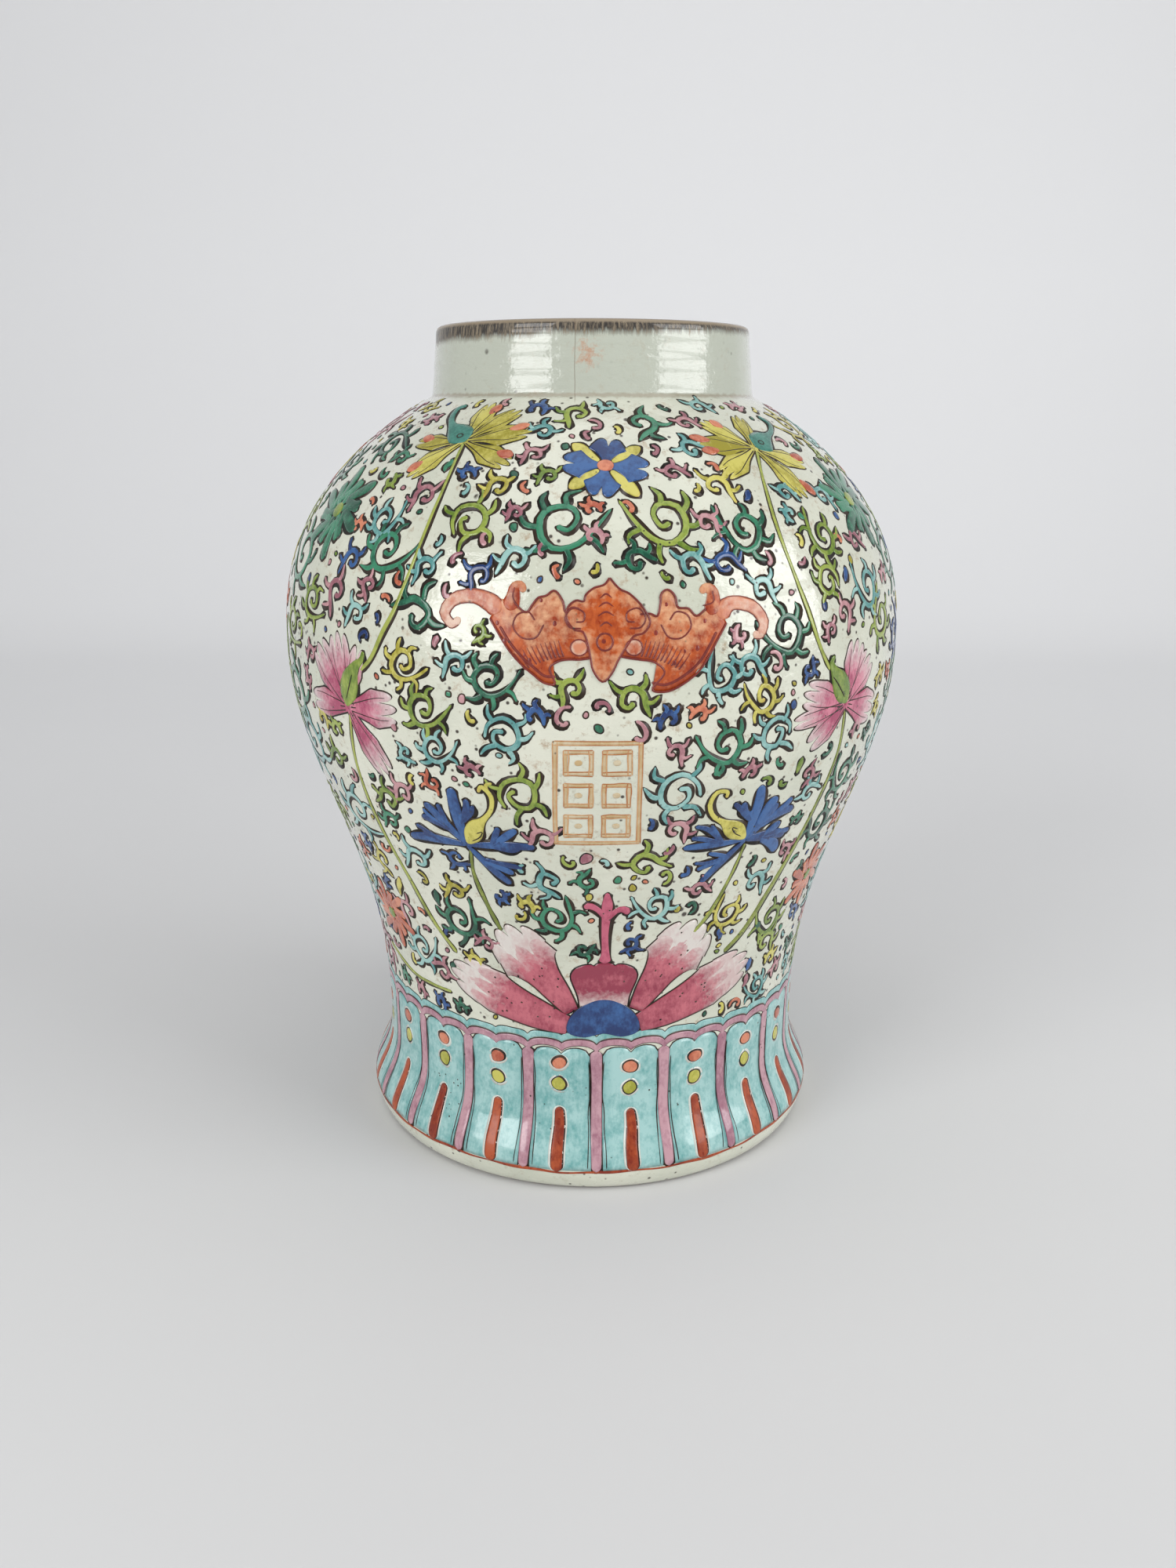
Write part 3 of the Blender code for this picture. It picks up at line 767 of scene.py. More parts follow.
# the upper edge, the lower edge, the horn and the long arm of each wing, with slashes between them
WINGS = {
    -1: """-8 8; -10.5 8.4; -13 7; -13.8 10.6; -16.6 14.2; -19.6 12.4; -22.4 11.6; -24.6 9; -26.4 6.6;
-28.6 7.4; -31 10; -36 11 / -4 -9; -8 -9.6; -12 -9.6; -15.6 -10.4; -18.6 -13; -16.6 -18.2;
-20.6 -18; -24.4 -15.2; -29 -11.4; -33 -7; -36.6 -1.6; -40 4 / -33 7 3.6; -31.4 11.6 2.6;
-30.8 15 1.9; -28.6 15.8 1.6; -27.6 13.4 1.3 / -36 6.4 4.2; -41 10 3.2; -48 11.6 2.4;
-54.6 9.4 2.2; -57.6 4.8 2.1; -54.6 1.2 1.7; -51.4 3.4 1.2""",
    1: """13 6; 16.5 6.2; 19.2 5.4; 20.2 9.4; 20.6 13; 23 14.4; 25.6 12; 26.6 8.2; 30.4 7.6; 33.4 5; 37 7.2;
41 9 / 6 -8.4; 9.6 -9.2; 13.6 -9.8; 18.4 -10.8; 22 -14.6; 17.6 -20.4; 22.6 -21.4; 28 -19.4;
34 -15.2; 38 -10; 41.4 -4; 45 2 / 39 5 3.4; 39.8 9.6 2.8; 39.4 13.4 2.1; 36.8 14.6 1.7;
35.2 12.8 1.3 / 42 4 4; 46 8.6 2.8; 51.4 8.4 2.3; 57.2 6 2.2; 60.4 1.2 2.1; 58.8 -3 1.8;
56 -2.4 1.2""",
}
BODY_COIL = "8.4 1.2; 12.4 1.6; 14 5; 11.4 8.2; 7.6 6.8; 7.6 3.8; 10.2 3.4"
WING_COIL = "20.4 2.4; 23.4 -2.2; 28.2 -2.4; 31.4 1.2; 30 5.4; 26 6.6; 23.6 3.8"
FRECKLES = "17 1 .9; 33 -4 1; 26 -10 .9; 21 9.6 .7; 37 2.6 .8; 29 -8 .6"


def bat_line(spot, places, half, n, level):
    """A line of darker red through places, with one half-width for all or one for each."""
    ink(spot, np.c_[places, np.broadcast_to(half, len(places))], n, level, "bat_line")


for side in FACES:
    spot = (side + 1.5, 242.5, 1, 0)
    for hand, wing in WINGS.items():
        above, below, horn, arm = (numbers(line) for line in wing.split("/"))
        top, low = smooth_line(above, 56), smooth_line(below, 56)
        share = np.linspace(0, 1, 11)[None, :, None]
        spread = low[:, None] * (1 - share) + top[:, None] * share
        ends = rounded(np.linspace(-1, 1, 56)[:, None], 8, 0.98)
        lift = COAT_LIFT + 0.04 + 0.14 * rounded(2 * share[..., 0] - 1, 4) * ends
        lay("bat", spot, spread, lift, share[..., 0] + 0 * spread[..., 0], 0.5)
        brush("bat_pale", spot, arm, 26, 0, 0.02)
        for edge in stroke(arm, 26):
            bat_line(spot, edge[3:-2:3], 0.16, 24, 0.14)
        brush("bat", spot, horn, 18, 0, 0.06, tone=0.3)
        for line in (above[:-1], below):
            bat_line(spot, line, 0.36, 6 * len(line), 0.26)
        bat_line(spot, numbers(BODY_COIL) * [hand, 1] + [1, 0], 0.28, 34, 0.36)
        bat_line(spot, numbers(WING_COIL) * [hand, 1], 0.28, 34, 0.28)
        fold = [(horn[0][0] - 3.2 * hand, 8.4), horn[1][:2], horn[2][:2]]
        bat_line(spot, fold, [0.2, 0.26, 0.2], 12, 0.34)
        bat_line(spot, [(x * 0.99, y + 2.0 + 0.5 * abs(x) / 20) for x, y in below[5:11]], 0.5, 34, 0.2)
        eye = (hand * 9.6 + 1.4, -5.4)
        blob("bat_pale", spot, oval(2.9, 2.7, 9, eye), 24, 0.2, 0.08, 0)
        bat_line(spot, oval(3.0, 2.8, 9, eye, True), 0.24, 30, 0.34)
        for i in range(11):
            x, lean = 13.6 + i * 1.35, 0.9 + 0.12 * i
            root = -8.6 - 0.05 * (x - 12) ** 1.7
            comb = [(hand * (x + t * lean), root + rise) for t, rise in ((0, 0), (1, 2.6), (2, 5.8))]
            bat_line(spot, comb, [0.34, 0.24, 0.08], 10, 0.24)
        for x, y, w in numbers(FRECKLES):
            x, y = hand * x + rng.normal(0, 1.6), y + rng.normal(0, 1.4)
            freckle = [(x, y - w, w * 0.6), (x + 0.3, y, w * 0.8), (x, y + w, w * 0.5)]
            brush("bat_line", spot, freckle, 8, 0, 0.16)
    blob("bat", spot, BAT_BODY, 110, 0.14, 0.16, 0, 0.6, 8)
    bat_line(spot, np.r_[BAT_BODY, BAT_BODY[:1]], 0.36, 130, 0.34)
    for y, half in ((12.4, 2.0), (9.4, 2.6), (6.2, 2.8), (2.6, 2.2)):
        brow = [(1.2 - half, y - 0.7), (1.2, y + 0.8), (1.2 + half, y - 0.6)]
        bat_line(spot, brow, [0.12, 0.34, 0.12], 12, 0.38)
    a = np.linspace(0, 2 * np.pi, 13)
    bat_line(spot, [(2.8 * np.sin(t) + 0.8, 3.0 * np.cos(t) - 3.4) for t in a], 0.34, 36, 0.38)
    blob("bat_line", spot, [(0.7 * np.sin(t) + 0.4, 0.8 * np.cos(t) - 3.2) for t in a[:-1]], 18, 0.36, 0.05, 0)


# The fret below the bat: a plain window lattice, a frame with three rows of two squares in it, ruled in double
# lines of thin orange with a paler wash between them.
RULED_LINES = (0.75, 0.24, "orange_line"), (-0.75, 0.20, "orange_line"), (0, 0.75, "orange_wash")


def ruled(spot, x, y, wide, tall):
    """A rectangle about (x, y), of these half-sizes, in a double line with a wash between."""
    corners = [(x - wide, y - tall), (x + wide, y - tall), (x + wide, y + tall), (x - wide, y + tall)]
    for start, end in zip(corners, corners[1:] + corners[:1]):
        step = np.subtract(end, start)
        way = step / np.hypot(*step)
        off = np.array([-way[1], way[0]])
        for gap, half, colour in RULED_LINES:
            wander = rng.normal(0, 0.13, (4, 1)) * off
            line = np.linspace(start - way * 0.7, end + way * 0.7, 4) + wander + off * gap
            edges = stroke(np.c_[line, np.full(4, half)], 14)
            lay(colour, spot, *dome(*edges, 3, COAT_LIFT - 0.03 * (gap == 0), 0.03), tone=rng.random())


for side in FACES:
    spot = (side + 0.9, 181.5, 1, 0)
    ruled(spot, 0, 0, 15.5, 21.5)
    for x in (-7, 7):
        for y in (-13.6, 0, 13.6):
            ruled(spot, x, y, 4.6, 4.4)
            brush("orange_wash", spot, [(x - 1.4, y, 1.1), (x + 1.4, y + 0.2, 1.1)], 8, 0)

# The flowers at the edges of each face: feathery dark green blossoms on the shoulder, and coral ones low down.
EDGE_FLOWERS = (
    (-57, 279, "dark_green", 1), (62, 283, "dark_green", 1), (-56, 108, "coral", 0.8), (58, 126, "coral", 0.8)
)
for side in FACES:
    for azimuth, z, colour, size in EDGE_FLOWERS:
        spot = (side + azimuth, z, size, 10)
        for heading in range(0, 360, 60):
            fork(colour, spot, [(heading - 24, 15, 2.6, -3), (heading, 21, 3.4, 1), (heading + 24, 15, 2.6, 3)])
        blob("lime", spot, oval(3.4, 3.2), 24, 0.26, 0.2, 0.4, rings=4)

# The scrolls that fill the ground between the flowers: short curled strokes, sprigs, commas and dots, each
# brushed in one colour over its ink. They are set out one by one, so no two are alike.
# each kind of scroll: its strokes, with slashes between them, as rows of x, y and half-width
KINDS = {
    "curl": """.8 -.6 1.2; -.9 -1.6 .9; -2.6 -.2 .9; -2 2.7 1.05; 1 3.6 1.2; 3.4 1.6 1.25; 3.9 -1.8 1.05;
5 -5.2 .5 / 2.2 3 1.1; 4.1 4.8 .9; 4.4 7.4 .4 / -1.6 2.4 1; -3.8 3.6 .85; -5.4 6 .4 / 3.7 -.8 1;
5.8 -.8 .8; 7.8 .8 .4""",
    "sprig": """-9.5 6 .5; -7.4 .4 .75; -4.4 -4.2 .95; -.4 -6.6 1.1; 3.4 -5 1.2; 5.2 -1 1.2; 3.6 3 1.1; -.2 4 1;
-2.6 1.4 .9; -1.6 -1.6 .85; 1 -1.6 1.1 / 4.4 1.2 1.1; 6.4 3.8 1; 6.2 6.8 .45 / 5 -2.6 1.1;
7.8 -2.8 1; 9.8 -.6 .45 / 1.6 -6.2 1.1; 3.8 -8.4 1; 6.8 -9 .45 / -2.4 -5.6 1; -3.8 -8.2 .9;
-3 -10.8 .4 / -6 -2 .9; -8.8 -2.8 .8; -10.4 -5.2 .35 / .6 4 1; .4 6.6 .85; -1.4 8.6 .4""",
    "arch": """5.4 -2.4 .5; 4.8 1.8 .8; 1.2 4.8 .9; -3 3.9 1; -5.1 .3 1.05; -4.2 -3 1.05; -.9 -4.7 1; 2.2 -3 .85;
2.3 .2 .8; .1 1 .95 / -4.8 -.6 1.1; -7.3 .2 .9; -9 2.6 .4 / -2.4 -4.2 1.1; -4 -6.9 .85;
-3.2 -9.4 .4 / 1.2 -4.2 1.1; 4.2 -5.4 .85; 6 -8.4 .4 / -3.6 3.6 .95; -6 5.4 .75;
-6 8 .35 / 3 3.4 .9; 5.2 5.4 .75; 5.6 7.8 .35""",
    "knot": """-3.2 -4.4 .7; -2.8 -1 1.3; -.4 2 1.5; 2.6 1.2 1.4; 3.2 -1.8 1.1; 1.2 -2.8 1.3 / -.2 1.6 1.2;
.8 4.4 1; -.4 6.4 .4 / 2.4 .8 1.1; 4.8 2.2 .9; 6 4.2 .4 / -2.6 -.8 1.1; -4.8 .6 .9; -6.4 .2 .4""",
    "comma": "0 2.4 .5; 1.4 1 .9; 1.2 -1.2 1; -.6 -2.4 1.2",
    "hook": "-2.4 4.4 .7; .6 3 .9; 2.6 -.4 1.1; 1.6 -4 1.1; -1.2 -4.6 1; -2 -2.6 1.2",
    "leaf": "-.2 -3 .4; .3 -1 1.4; 0 1.2 1.6; -.2 3.2 .4",
}
COLOURS = dict(T="turquoise", G="dark_green", L="lime", Y="yellow", P="pink", B="blue", C="coral")
ON_THE_BACK = dict(zip("TGLYPBC", "GTYLBPC"))
DRAWN_SMALLER = dict(arch=0.82, curl=0.98, sprig=0.84, knot=0.86)
# what is set out on each face: azimuth, height, colour, kind and size
SCROLLS = """-15 317.5 B knot 1.1; -26 319.5 P comma 1; -48 313 P knot .9; -12 309 T curl 1; -4 315 L curl 1.2;
-12.5 301 P curl .9; -6 304 G dot 1; -1 308 P comma 1; -25.5 295 B knot .9; -31 297 G leaf 1;
-15.5 294.5 G dot 1; -8.5 294 L curl .8; -18 290 Y curl 1.1; -12.5 290.5 C comma 1; -33 286 P curl 1.2;
-5 279 G sprig 1.9; -22 279 L arch 1.6; -13.5 281.5 P curl .7; -13.5 277 G dot 1; -18 273 P comma 1;
0 284 C knot .8; .5 275 P knot .9; -40.5 278 T sprig 1.2; -47 275 C knot .8; -37 268 G sprig 1.6;
-45.5 262 B curl 1.2; -28 262 T curl 1.1; -22.5 266 P comma 1; -23.5 255 P comma 1; -18 260 B curl 1.1;
-12.5 266 T curl 1.2; -8 270 P comma 1; -5.5 263 C comma 1; -59 253 B dot 1; -48 250 P curl 1.4;
-56 245 L sprig 1.3; -42 243 T curl 1.1; -39.5 254 P curl .9; -33 258 C comma 1; -29 245.5 G curl 1.7;
-31 228 Y sprig 1.2; -25 237 P leaf .8; -21.5 229 T curl 1.1; -15.8 225.5 G sprig 1.3;
-56 224 P curl .8; -27.5 212 L sprig 1.3; -20.5 217 P dot 1; -19 211 Y comma 1; -8.6 213 B knot 1;
-4.5 213 P hook .8; -3 222 L curl 1.1; -14 205 T arch 1.5; -26 197 T sprig 1.1; 1 208 G dot 1;
-54 199 Y knot 1.1; -50 197 L knot 1; -34 203 P dot 1; -20 190 P knot .9; -32 182 Y comma 1;
-12.5 181 L arch 1.7; -17 183 Y comma 1; -35 175 P curl 1.1; -53 182 L curl 1.2; -39.5 170 L curl 1.3;
-8.5 162 P curl 1.2; -37 158 G dot 1; -41 160 G curl 1.0; -52 160 T sprig 1.7; -1 154 P dot 1.6;
-13 148 T comma 1; -37 144 T curl 1.4; -8 143 T curl 1.3; -13 131 Y knot 1; -29 132 Y curl 1.1;
-50 137 Y curl 1.2; -35 127 G leaf 1.2; -30 119 G sprig 1.5; -47 126 Y leaf 1.6; -47 114 P curl 1.3;
-24 109 P curl .9; -34 110 B comma 1; -7.5 126 G sprig 1.3; -.5 136 Y dot 1; -28 100 Y knot .9;
-45 98 T sprig 1.4; -35 94 G dot 1; -39 89 P curl 1.1; -50 89 Y comma 1; -49 74 P knot .9;
-41 73 B knot .9; -34 74 G knot .8; -57 76 G knot .9; -60 100 B comma 1; -65 120 Y knot 1;
12 312 G curl 1.5; 24 312 P curl .9; 22 303 T curl 1.1; 13 303 P comma 1; 32 318 T curl 1;
47 318 P knot .9; 16 295 P curl .9; 24 290 Y curl 1.3; 25 297 C comma 1; 30 287 B leaf .8;
27 276 G sprig 1.5; 12.5 280 L sprig 1.8; 20 278 P curl 1; 40 287 T curl 1; 41 279 G dot 1;
6 284 C comma 1; 38 271 Y comma 1; 45 272 L sprig 1.4; 43 256 L arch 1.3; 51 285 T curl 1.1;
52 278 B dot 1; 55 268 P curl 1.1; 49 270 C comma 1; 30 266 P comma 1; 16 264 T curl 1.2;
22 264 B curl 1.2; 7 266 G curl 1.1; 28 255 T curl 1.1; 48 257 B leaf 1; 51 262 Y dot 1;
55 252 T sprig 1.5; 64 254 P knot 1; 46 243 P curl 1.1; 41 247 B dot 1; 32 240 G sprig 1.5;
25 228 T curl 1.2; 30 230 P hook .8; 20.4 226 T sprig 1.12; 27.8 217 Y sprig 1.1; 6 218 L curl 1.3;
11.5 211.5 B knot 1; 7.5 207 P hook .8; 60 238 L sprig 1.5; 60 214 Y knot 1; 21.6 200 G sprig 1.4;
13 198 P curl .9; 31 202 T arch 1.45; 34 212 B dot 1; 14.5 182 T arch 1.8; 21 190 G comma 1;
27 188 P knot .9; 31 182 L comma 1; 38 186 L leaf 1.1; 41 181 P curl .9; 10 169 B comma 1;
15 165 P curl 1.1; 10 150 L curl 1.5; 14 157 P comma 1; 42 146 P curl .9; 42 161 G knot .7;
43 172 T curl 1.1; 54 176 G sprig 1.5; 53 196 P knot .9; 52 155 G sprig 1.4; 59 162 P comma 1;
36 134 T curl 1.3; 33 146 G comma 1; 22 136 P curl .9; 13 131 T sprig 1.2; 18 146 B comma 1;
18 128 Y dot 1; 31 122 Y sprig 1.2; 30 112 B leaf 1; 42 110 G dot 1.3; 8.5 113 B curl .8; 8 140 Y dot 1;
5 144 G dot 1; 28 93 G dot 1; 46 112 L sprig 1.4; 47 99 L curl 1.3; 53 103 G dot 1; 42 91 B leaf 1;
42 83 P leaf 1; 51 90 Y knot 1; 47 78 T sprig 1; 34 74 Y comma 1; 55 82 P knot 1; 47 128 P comma 1;
51 134 G comma 1; 58 107 B curl 1"""


def scroll(colour, kind, azimuth, z, size, turned):
    """One scroll, each of its strokes swayed a little and thinner the larger it is."""
    spot = (azimuth, z, size, turned)
    if kind == "dot":
        rim = [(1.25 * np.cos(a), 1.7 * np.sin(a)) for a in np.arange(6) * np.pi / 3 + rng.normal(0, 0.15, 6)]
        return blob(colour, spot, rim, 18, 0, 0.17, 0.55, rings=3)
    bolder = [1, 1, 1.04 if kind == "arch" else 1]
    thinned = [1, 1, 0.84 * abs(size) ** -0.6]
    for points in map(numbers, KINDS[kind].split("/")):
        sway = rng.normal(0, 0.22, (len(points), 3)) * [1, 1, 0.25]
        brush(colour, spot, (points * bolder + sway) * thinned, 3 * len(points) + 2)


flower_outlines = len(coats["ink"])
for side in FACES:
    for entry in SCROLLS.split(";"):
        place, z, colour, kind, size = entry.split()
        hand = np.sign(float(place) - 2.5) * float(size) * DRAWN_SMALLER.get(kind, 1)
        shown = ON_THE_BACK[colour] if side else colour
        scroll(COLOURS[shown], kind, side + float(place), float(z), hand, rng.normal(0, 28))

# The two ends, where the front and back compositions meet, carry a blossom, a forked flower and a half lotus.
for side in (92.5, 272.5):
    for quarter in (0, 90, 180, 270):
        petal("yellow", (side, 296, 1, quarter), 15, "1.2 5 7.4 6.6", 2, 0.12, 0.3, fade=0.5, level=0.04)
        brush("coral", (side, 296, 1, quarter + 45), "0 3 .8; .3 9 1.8; 0 15 .9", 12, level=0.1)
    button("blue", (side, 296, 1, 0), 2.6, 2.4)
    for heading in (0, 58, 118, 180, 242, 302):
        petal("rose", (side, 236, 1, heading), 24, "1.6 5 8 7.6", 3, 0.14, 0.2, level=0.04)
    button("lime", (side, 236, 1, 0), 4.2, 4.0, 28)
    for heading in (0, 45, 90, -45, -90):
        fork("blue", (side, 160, 1, -heading), "0 24 3 1; -16 19 1.8 0; 15 20 1.7 1")
    stalk = "0 2 3.4; .6 -6 3; -1 -16 1.3; 1.5 -34 1.5; -.5 -52 1.2"
    brush("lime", (side, 160, 1, 0), stalk, 30, level=0.14)
    blob("coral", (side, 69.6, 1, 0), "-12 1; -9 9; 0 13; 9 9; 12 1; 0 -.6", 40, 0.22, 0.3, 0.4, rings=6)
    for lean in (-62, -24, 24, 62):
        petal("pink_bloom", (side - lean * 0.08, 78, 1, -lean), 32, "2.4 5 8 8.4", 3, 0.14, 0.16, level=0.05)
    for lean in (-1, 1):
        for z, reach in ((262, 21), (206, 20), (186, 23), (118, 20)):
            green = "dark_green" if z > 200 else "turquoise"
            scroll(green, "sprig", side + lean * reach, z, 1.7 * lean, rng.normal(0, 25))
            scroll("lime", "arch", side + lean * (reach - 9), z + 14, 1.5 * lean, rng.normal(0, 25))

# What is still bare gets small curls and commas, the larger first, as the painter would fill it.
FILL_TRIES, FILL_FROM, FILL_HEIGHT = 9000, 69, 250
scroll_outlines = len(coats["ink"])
for kind, size, clear in (
    ("sprig", 1.15, 9.0), ("arch", 1.0, 7.6), ("curl", 0.9, 5.9), ("curl", 0.72, 4.9),
    ("knot", 0.74, 4.2), ("hook", 0.6, 3.8), ("comma", 0.8, 3.0), ("dot", 0.6, 2.6),
):
    for azimuth, z in rng.random((FILL_TRIES, 2)) * [360, FILL_HEIGHT] + [0, FILL_FROM]:
        run, reach = wall_run(z), int(clear)
        half = np.degrees(clear / radius_at(run)) * HALF_DEGREES
        low, high = azimuth * HALF_DEGREES - half, azimuth * HALF_DEGREES + half
        near = np.arange(int(low), int(high) + 1) % len(painted)
        in_fret = abs((azimuth + 90) % 180 - 91) < 9.5 and 155 < z < 208
        if in_fret or painted[near, max(int(run) - reach, 0) : int(run) + reach].any():
            continue
        colour = list(COLOURS.values())[int(rng.random() * len(COLOURS))]
        hand = size * (0.9 + 0.2 * rng.random()) * rng.choice([-1, 1])
        scroll(colour, kind, azimuth, z, hand, rng.random() * 360)

# The enamels themselves: lead glass with metal oxides in it, fired at some 750 degrees till it flows. Each
# film is mottled where the brush left it thick or thin, darker where it pooled at its edge, and pitted with
# specks.
film, given, result = effect(
    "enamel_film",
    {"Deep": "Color", "Pale": "Color", "Across": "Float", "Tone": "Float"},
    {"Color": "Color", "Relief": "Float"},
)
mottled = film.noise(140, 4, 0.62)
brushed = film.noise(700, 3, 0.6, film.coords((1, 1, 0.5)))
thin = film.math("MULTIPLY_ADD", given["Tone"], 0.36, film.math("MULTIPLY_ADD", brushed, 0.55, mottled))
film_colour = film.mix(film.span(thin, 0.78, 1.12), given["Deep"], given["Pale"])
pooled = film.mix(film.span(given["Across"], 0.62, 1.0, 0, 0.42), film_colour, given["Deep"])
specked = film.mix(specks(film, 330, 0.03), pooled, (0.03, 0.03, 0.02))
film.tree.links.new(specked, result["Color"])
film.tree.links.new(brushed, result["Relief"])


def enamel(name, deep, pale, rough=0.13, bare=None, spread=(0.35, 1.0), coat=0.5, grain=520, blotch=0.5):
    """An enamel of two colours, thick and thin. With bare, it fades along the stroke to that third colour, in
    streaks."""
    look = Look(name)
    tone, across = look.attribute("tone"), look.attribute("across")
    values = {"Deep": (*deep, 1), "Pale": (*pale, 1), "Across": across, "Tone": tone}
    group = bpy.data.node_groups["enamel_film"]
    colour = look.add("ShaderNodeGroup", values, "Color", node_tree=group)
    relief = colour.node.outputs["Relief"]
    if bare:
        fine = look.noise(grain, 3, 0.6)
        streaky = look.math("MULTIPLY_ADD", fine, blotch, look.attribute("along"))
        colour = look.mix(look.span(streaky, spread[0] + 0.25, spread[1] + 0.25), colour, bare)
    return look.finish(
        Base_Color=colour,
        Roughness=look.span(relief, 0.2, 0.8, rough * 0.7, rough * 1.7),
        Normal=look.bump(relief, 0.3, 0.00012),
        Coat_Weight=coat,
        Coat_Roughness=0.05,
        IOR=1.45,
    )


# each coat: its slot, its enamel, and the colours where it lies thick and thin
ENAMELS = """yellow_green yellow_enamel yellow_green .330 .330 .030 .600 .560 .110
orange_wash iron_wash orange_wash .560 .390 .190 .640 .550 .380
rose_tip pink_enamel rose_tip .640 .480 .460 .740 .690 .640
ink outline_enamel ink_line .007 .004 .002 .052 .026 .012
turquoise_band turquoise_enamel turquoise_band .145 .390 .380 .385 .625 .605
halo glazed_porcelain reserved_glaze .600 .620 .560 .760 .780 .720
coral coral_enamel coral .420 .085 .040 .680 .240 .130
yellow yellow_enamel yellow .340 .295 .026 .640 .580 .130
iron_red coral_enamel iron_red .220 .020 .004 .450 .080 .018
mauve pink_enamel mauve .350 .155 .210 .560 .325 .370
blue blue_enamel cobalt .005 .028 .130 .034 .120 .330
rose magenta_enamel rose .290 .032 .066 .560 .140 .180
magenta magenta_enamel magenta .360 .040 .090 .560 .120 .190
stem lime_enamel stem_green .160 .200 .025 .380 .430 .085
pink_bloom pink_enamel pink_bloom .360 .040 .110 .620 .190 .270
lime lime_enamel lime .115 .200 .016 .320 .400 .070
teal turquoise_enamel teal .010 .110 .085 .060 .250 .195
bat coral_enamel bat_wash .280 .025 .003 .540 .105 .017
bat_pale coral_enamel bat_pale .420 .085 .034 .640 .240 .130
bat_line iron_wash bat_line .140 .010 .006 .280 .030 .014
orange_line iron_wash orange_line .440 .160 .045 .640 .370 .170
turquoise turquoise_enamel turquoise .090 .290 .280 .330 .560 .520
dark_green dark_green_enamel dark_green .005 .075 .040 .040 .240 .130
pink pink_enamel pink .300 .105 .135 .550 .290 .305"""
MATT = 0.3
FADES = {
    "orange_wash": dict(rough=MATT),
    "ink": dict(rough=0.34, coat=0.0),
    "yellow": dict(bare=(0.70, 0.30, 0.08), spread=(0.8, 1.5)),
    "iron_red": dict(rough=MATT, coat=0.2, bare=(0.62, 0.30, 0.19), spread=(0.9, 1.4)),
    "rose": dict(bare=(0.690, 0.560, 0.530), spread=(0.62, 1.02)),
    "pink_bloom": dict(bare=(0.700, 0.600, 0.580), spread=(0.48, 1.05)),
    "bat": dict(rough=MATT, bare=(0.74, 0.40, 0.22), spread=(1.25, 2.3), coat=0.2, grain=330, blotch=2.6),
    "bat_pale": dict(rough=MATT, bare=(0.72, 0.50, 0.38), spread=(1.1, 2.0), coat=0.2, grain=330, blotch=2.4),
    "bat_line": dict(rough=MATT),
    "orange_line": dict(rough=MATT),
}
finishes = {}
for colour, slot, name, *parts in map(str.split, ENAMELS.splitlines()):
    parts = [float(part) for part in parts]
    finishes[colour] = slot, enamel(name, parts[:3], parts[3:], **FADES.get(colour, {}))
outlines, marks = coats.pop("ink"), (0, flower_outlines, scroll_outlines, None)
for colour, first, last in zip(("ink", "ink_of_scrolls", "ink_of_fillers"), marks, marks[1:]):
    coats[colour], finishes[colour] = outlines[first:last], finishes["ink"]
for colour, (slot, finish) in finishes.items():
    places, quads, caps, along, across, tone, unrolled = zip(*coats[colour])
    starts = np.concatenate([[0], np.cumsum([len(part) for part in places])[:-1]])
    faces = [quad for part, start in zip(quads, starts) for quad in (part + start).tolist()]
    faces += [[int(i) + int(start) for i in cap] for part, start in zip(caps, starts) for cap in part]
    piece = new_piece(f"enamel_{colour}", np.concatenate(places), faces)
    for label, values in (("along", along), ("across", across), ("tone", tone)):
        attribute = piece.data.attributes.new(label, "FLOAT", "POINT")
        attribute.data.foreach_set("value", np.concatenate(values).astype(np.float32))
    corner = np.empty(len(piece.data.loops), np.int32)
    piece.data.loops.foreach_get("vertex_index", corner)
    unrolled = np.concatenate(unrolled)[corner].astype(np.float32)
    piece.data.uv_layers.new(name="OFBake").data.foreach_set("uv", unrolled.ravel())
    piece.data.materials.append(finish)

# The table and the sweep behind it: one pale paper roll, matt, that curves up a little way behind the jar.
bend = np.linspace(0, np.pi / 2, 24)[1:]
along = np.concatenate([np.linspace(-1.6, 1.1, 40), 1.1 + 0.5 * np.sin(bend), np.full(20, 1.6)])
up = np.concatenate([np.zeros(40), 0.5 * (1 - np.cos(bend)), np.linspace(0.55, 2.4, 20)])
width = np.linspace(-2.6, 2.6, 14)
roll = np.stack(np.broadcast_arrays(width[None], along[:, None], up[:, None] - 0.0002), -1)
index = np.arange(roll[..., 0].size).reshape(roll.shape[:2])
quads = np.stack([index[:-1, :-1], index[:-1, 1:], index[1:, 1:], index[1:, :-1]], -1).reshape(-1, 4)
mesh = bpy.data.meshes.new("paper_roll")
mesh.from_pydata(roll.reshape(-1, 3).tolist(), [], quads.tolist())
mesh.shade_smooth()
paper = bpy.data.objects.new("paper_roll", mesh)
bpy.context.scene.collection.objects.link(paper)
paper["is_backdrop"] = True
look = Look("matt_paper")
paper_tone_and_light = look.mix(look.span(look.noise(1.4, 3), 0.3, 0.7), (0.68, 0.684, 0.686), (0.72, 0.721, 0.723))
back = look.add("ShaderNodeSeparateXYZ", {"Vector": look.coords()}, "Y")
# painted light: the paper is painted paler towards the back and up the sweep, for the light on the backdrop and
# to lift the shade just behind the jar
paper_tone_and_light = look.mix(look.span(back, -0.1, 1.3), paper_tone_and_light, (0.93, 0.934, 0.942))
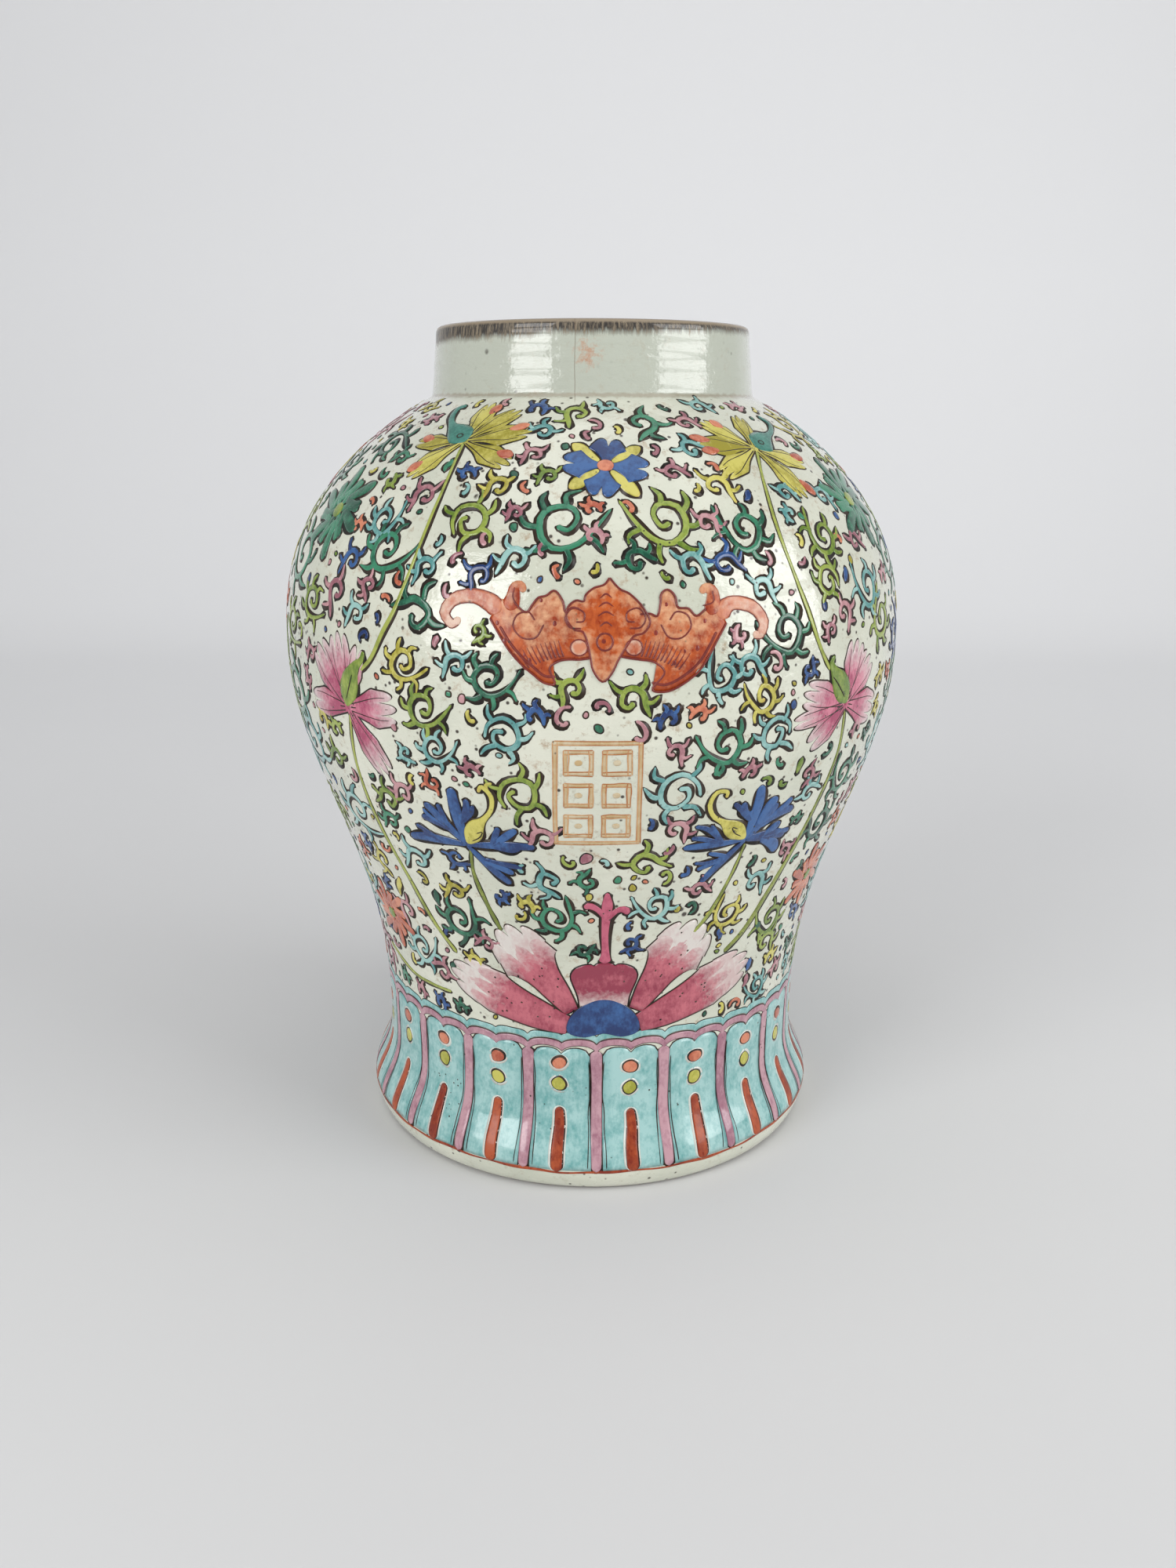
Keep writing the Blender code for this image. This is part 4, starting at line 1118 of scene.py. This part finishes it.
look.finish(Base_Color=paper_tone_and_light, Roughness=0.85, Normal=look.bump(look.noise(900, 2), 0.08, 0.0002))
mesh.materials.append(look.material)

# Soft studio light: tall softboxes on both sides, a wide one overhead, and pale walls all round.
AIM = np.array([0, 0, 0.2])


def softbox(name, azimuth, height, distance, wide, tall, power):
    """A rectangular lamp at an azimuth in degrees from the front, aimed at the middle of the jar."""
    lamp = bpy.data.lights.new(name, "AREA")
    lamp.shape, lamp.size, lamp.size_y, lamp.energy = "RECTANGLE", wide, tall, power
    made = bpy.data.objects.new(name, lamp)
    a = np.radians(azimuth)
    place = np.array([distance * np.sin(a), -distance * np.cos(a), height])
    made.location = place
    way = Vector(AIM - place)
    made.rotation_euler = way.to_track_quat("-Z", "Y").to_euler()
    bpy.context.scene.collection.objects.link(made)
    made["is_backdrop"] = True


softbox("softbox_left_low", -43, 0.42, 1.5, 0.80, 0.44, 5.4)
softbox("softbox_left_high", -43, 0.98, 1.5, 0.80, 0.52, 6.8)
softbox("softbox_right_low", 66, 0.42, 1.6, 1.15, 0.46, 7.2)
softbox("softbox_right_high", 66, 1.02, 1.6, 1.15, 0.56, 8.6)
softbox("softbox_top", 20, 2.3, 0.3, 2.4, 2.0, 11)
world = bpy.data.worlds.new("pale_walls")
bpy.context.scene.world = world
world.use_nodes = True
world.node_tree.nodes["Background"].inputs["Color"].default_value = (0.94, 0.945, 0.96, 1)
world.node_tree.nodes["Background"].inputs["Strength"].default_value = 0.37

# The camera stands a little above the jar and looks slightly down on it.
PITCH_DOWN, ROLL, FOCAL, SENSOR = 16.2035, -0.15, 29.52, 36.0
camera = bpy.data.objects.new("camera", bpy.data.cameras.new("camera"))
camera.location = (-0.0018, -0.577, 0.3166)
camera.rotation_euler = (np.radians(90 - PITCH_DOWN), np.radians(ROLL), 0)
camera.data.sensor_width, camera.data.lens = SENSOR, FOCAL
bpy.context.scene.collection.objects.link(camera)
bpy.context.scene.camera = camera
bpy.context.scene.view_settings.view_transform = "Standard"

size = {"cad": np.array(cad_box).tolist(), "visual": np.array(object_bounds()).tolist()}
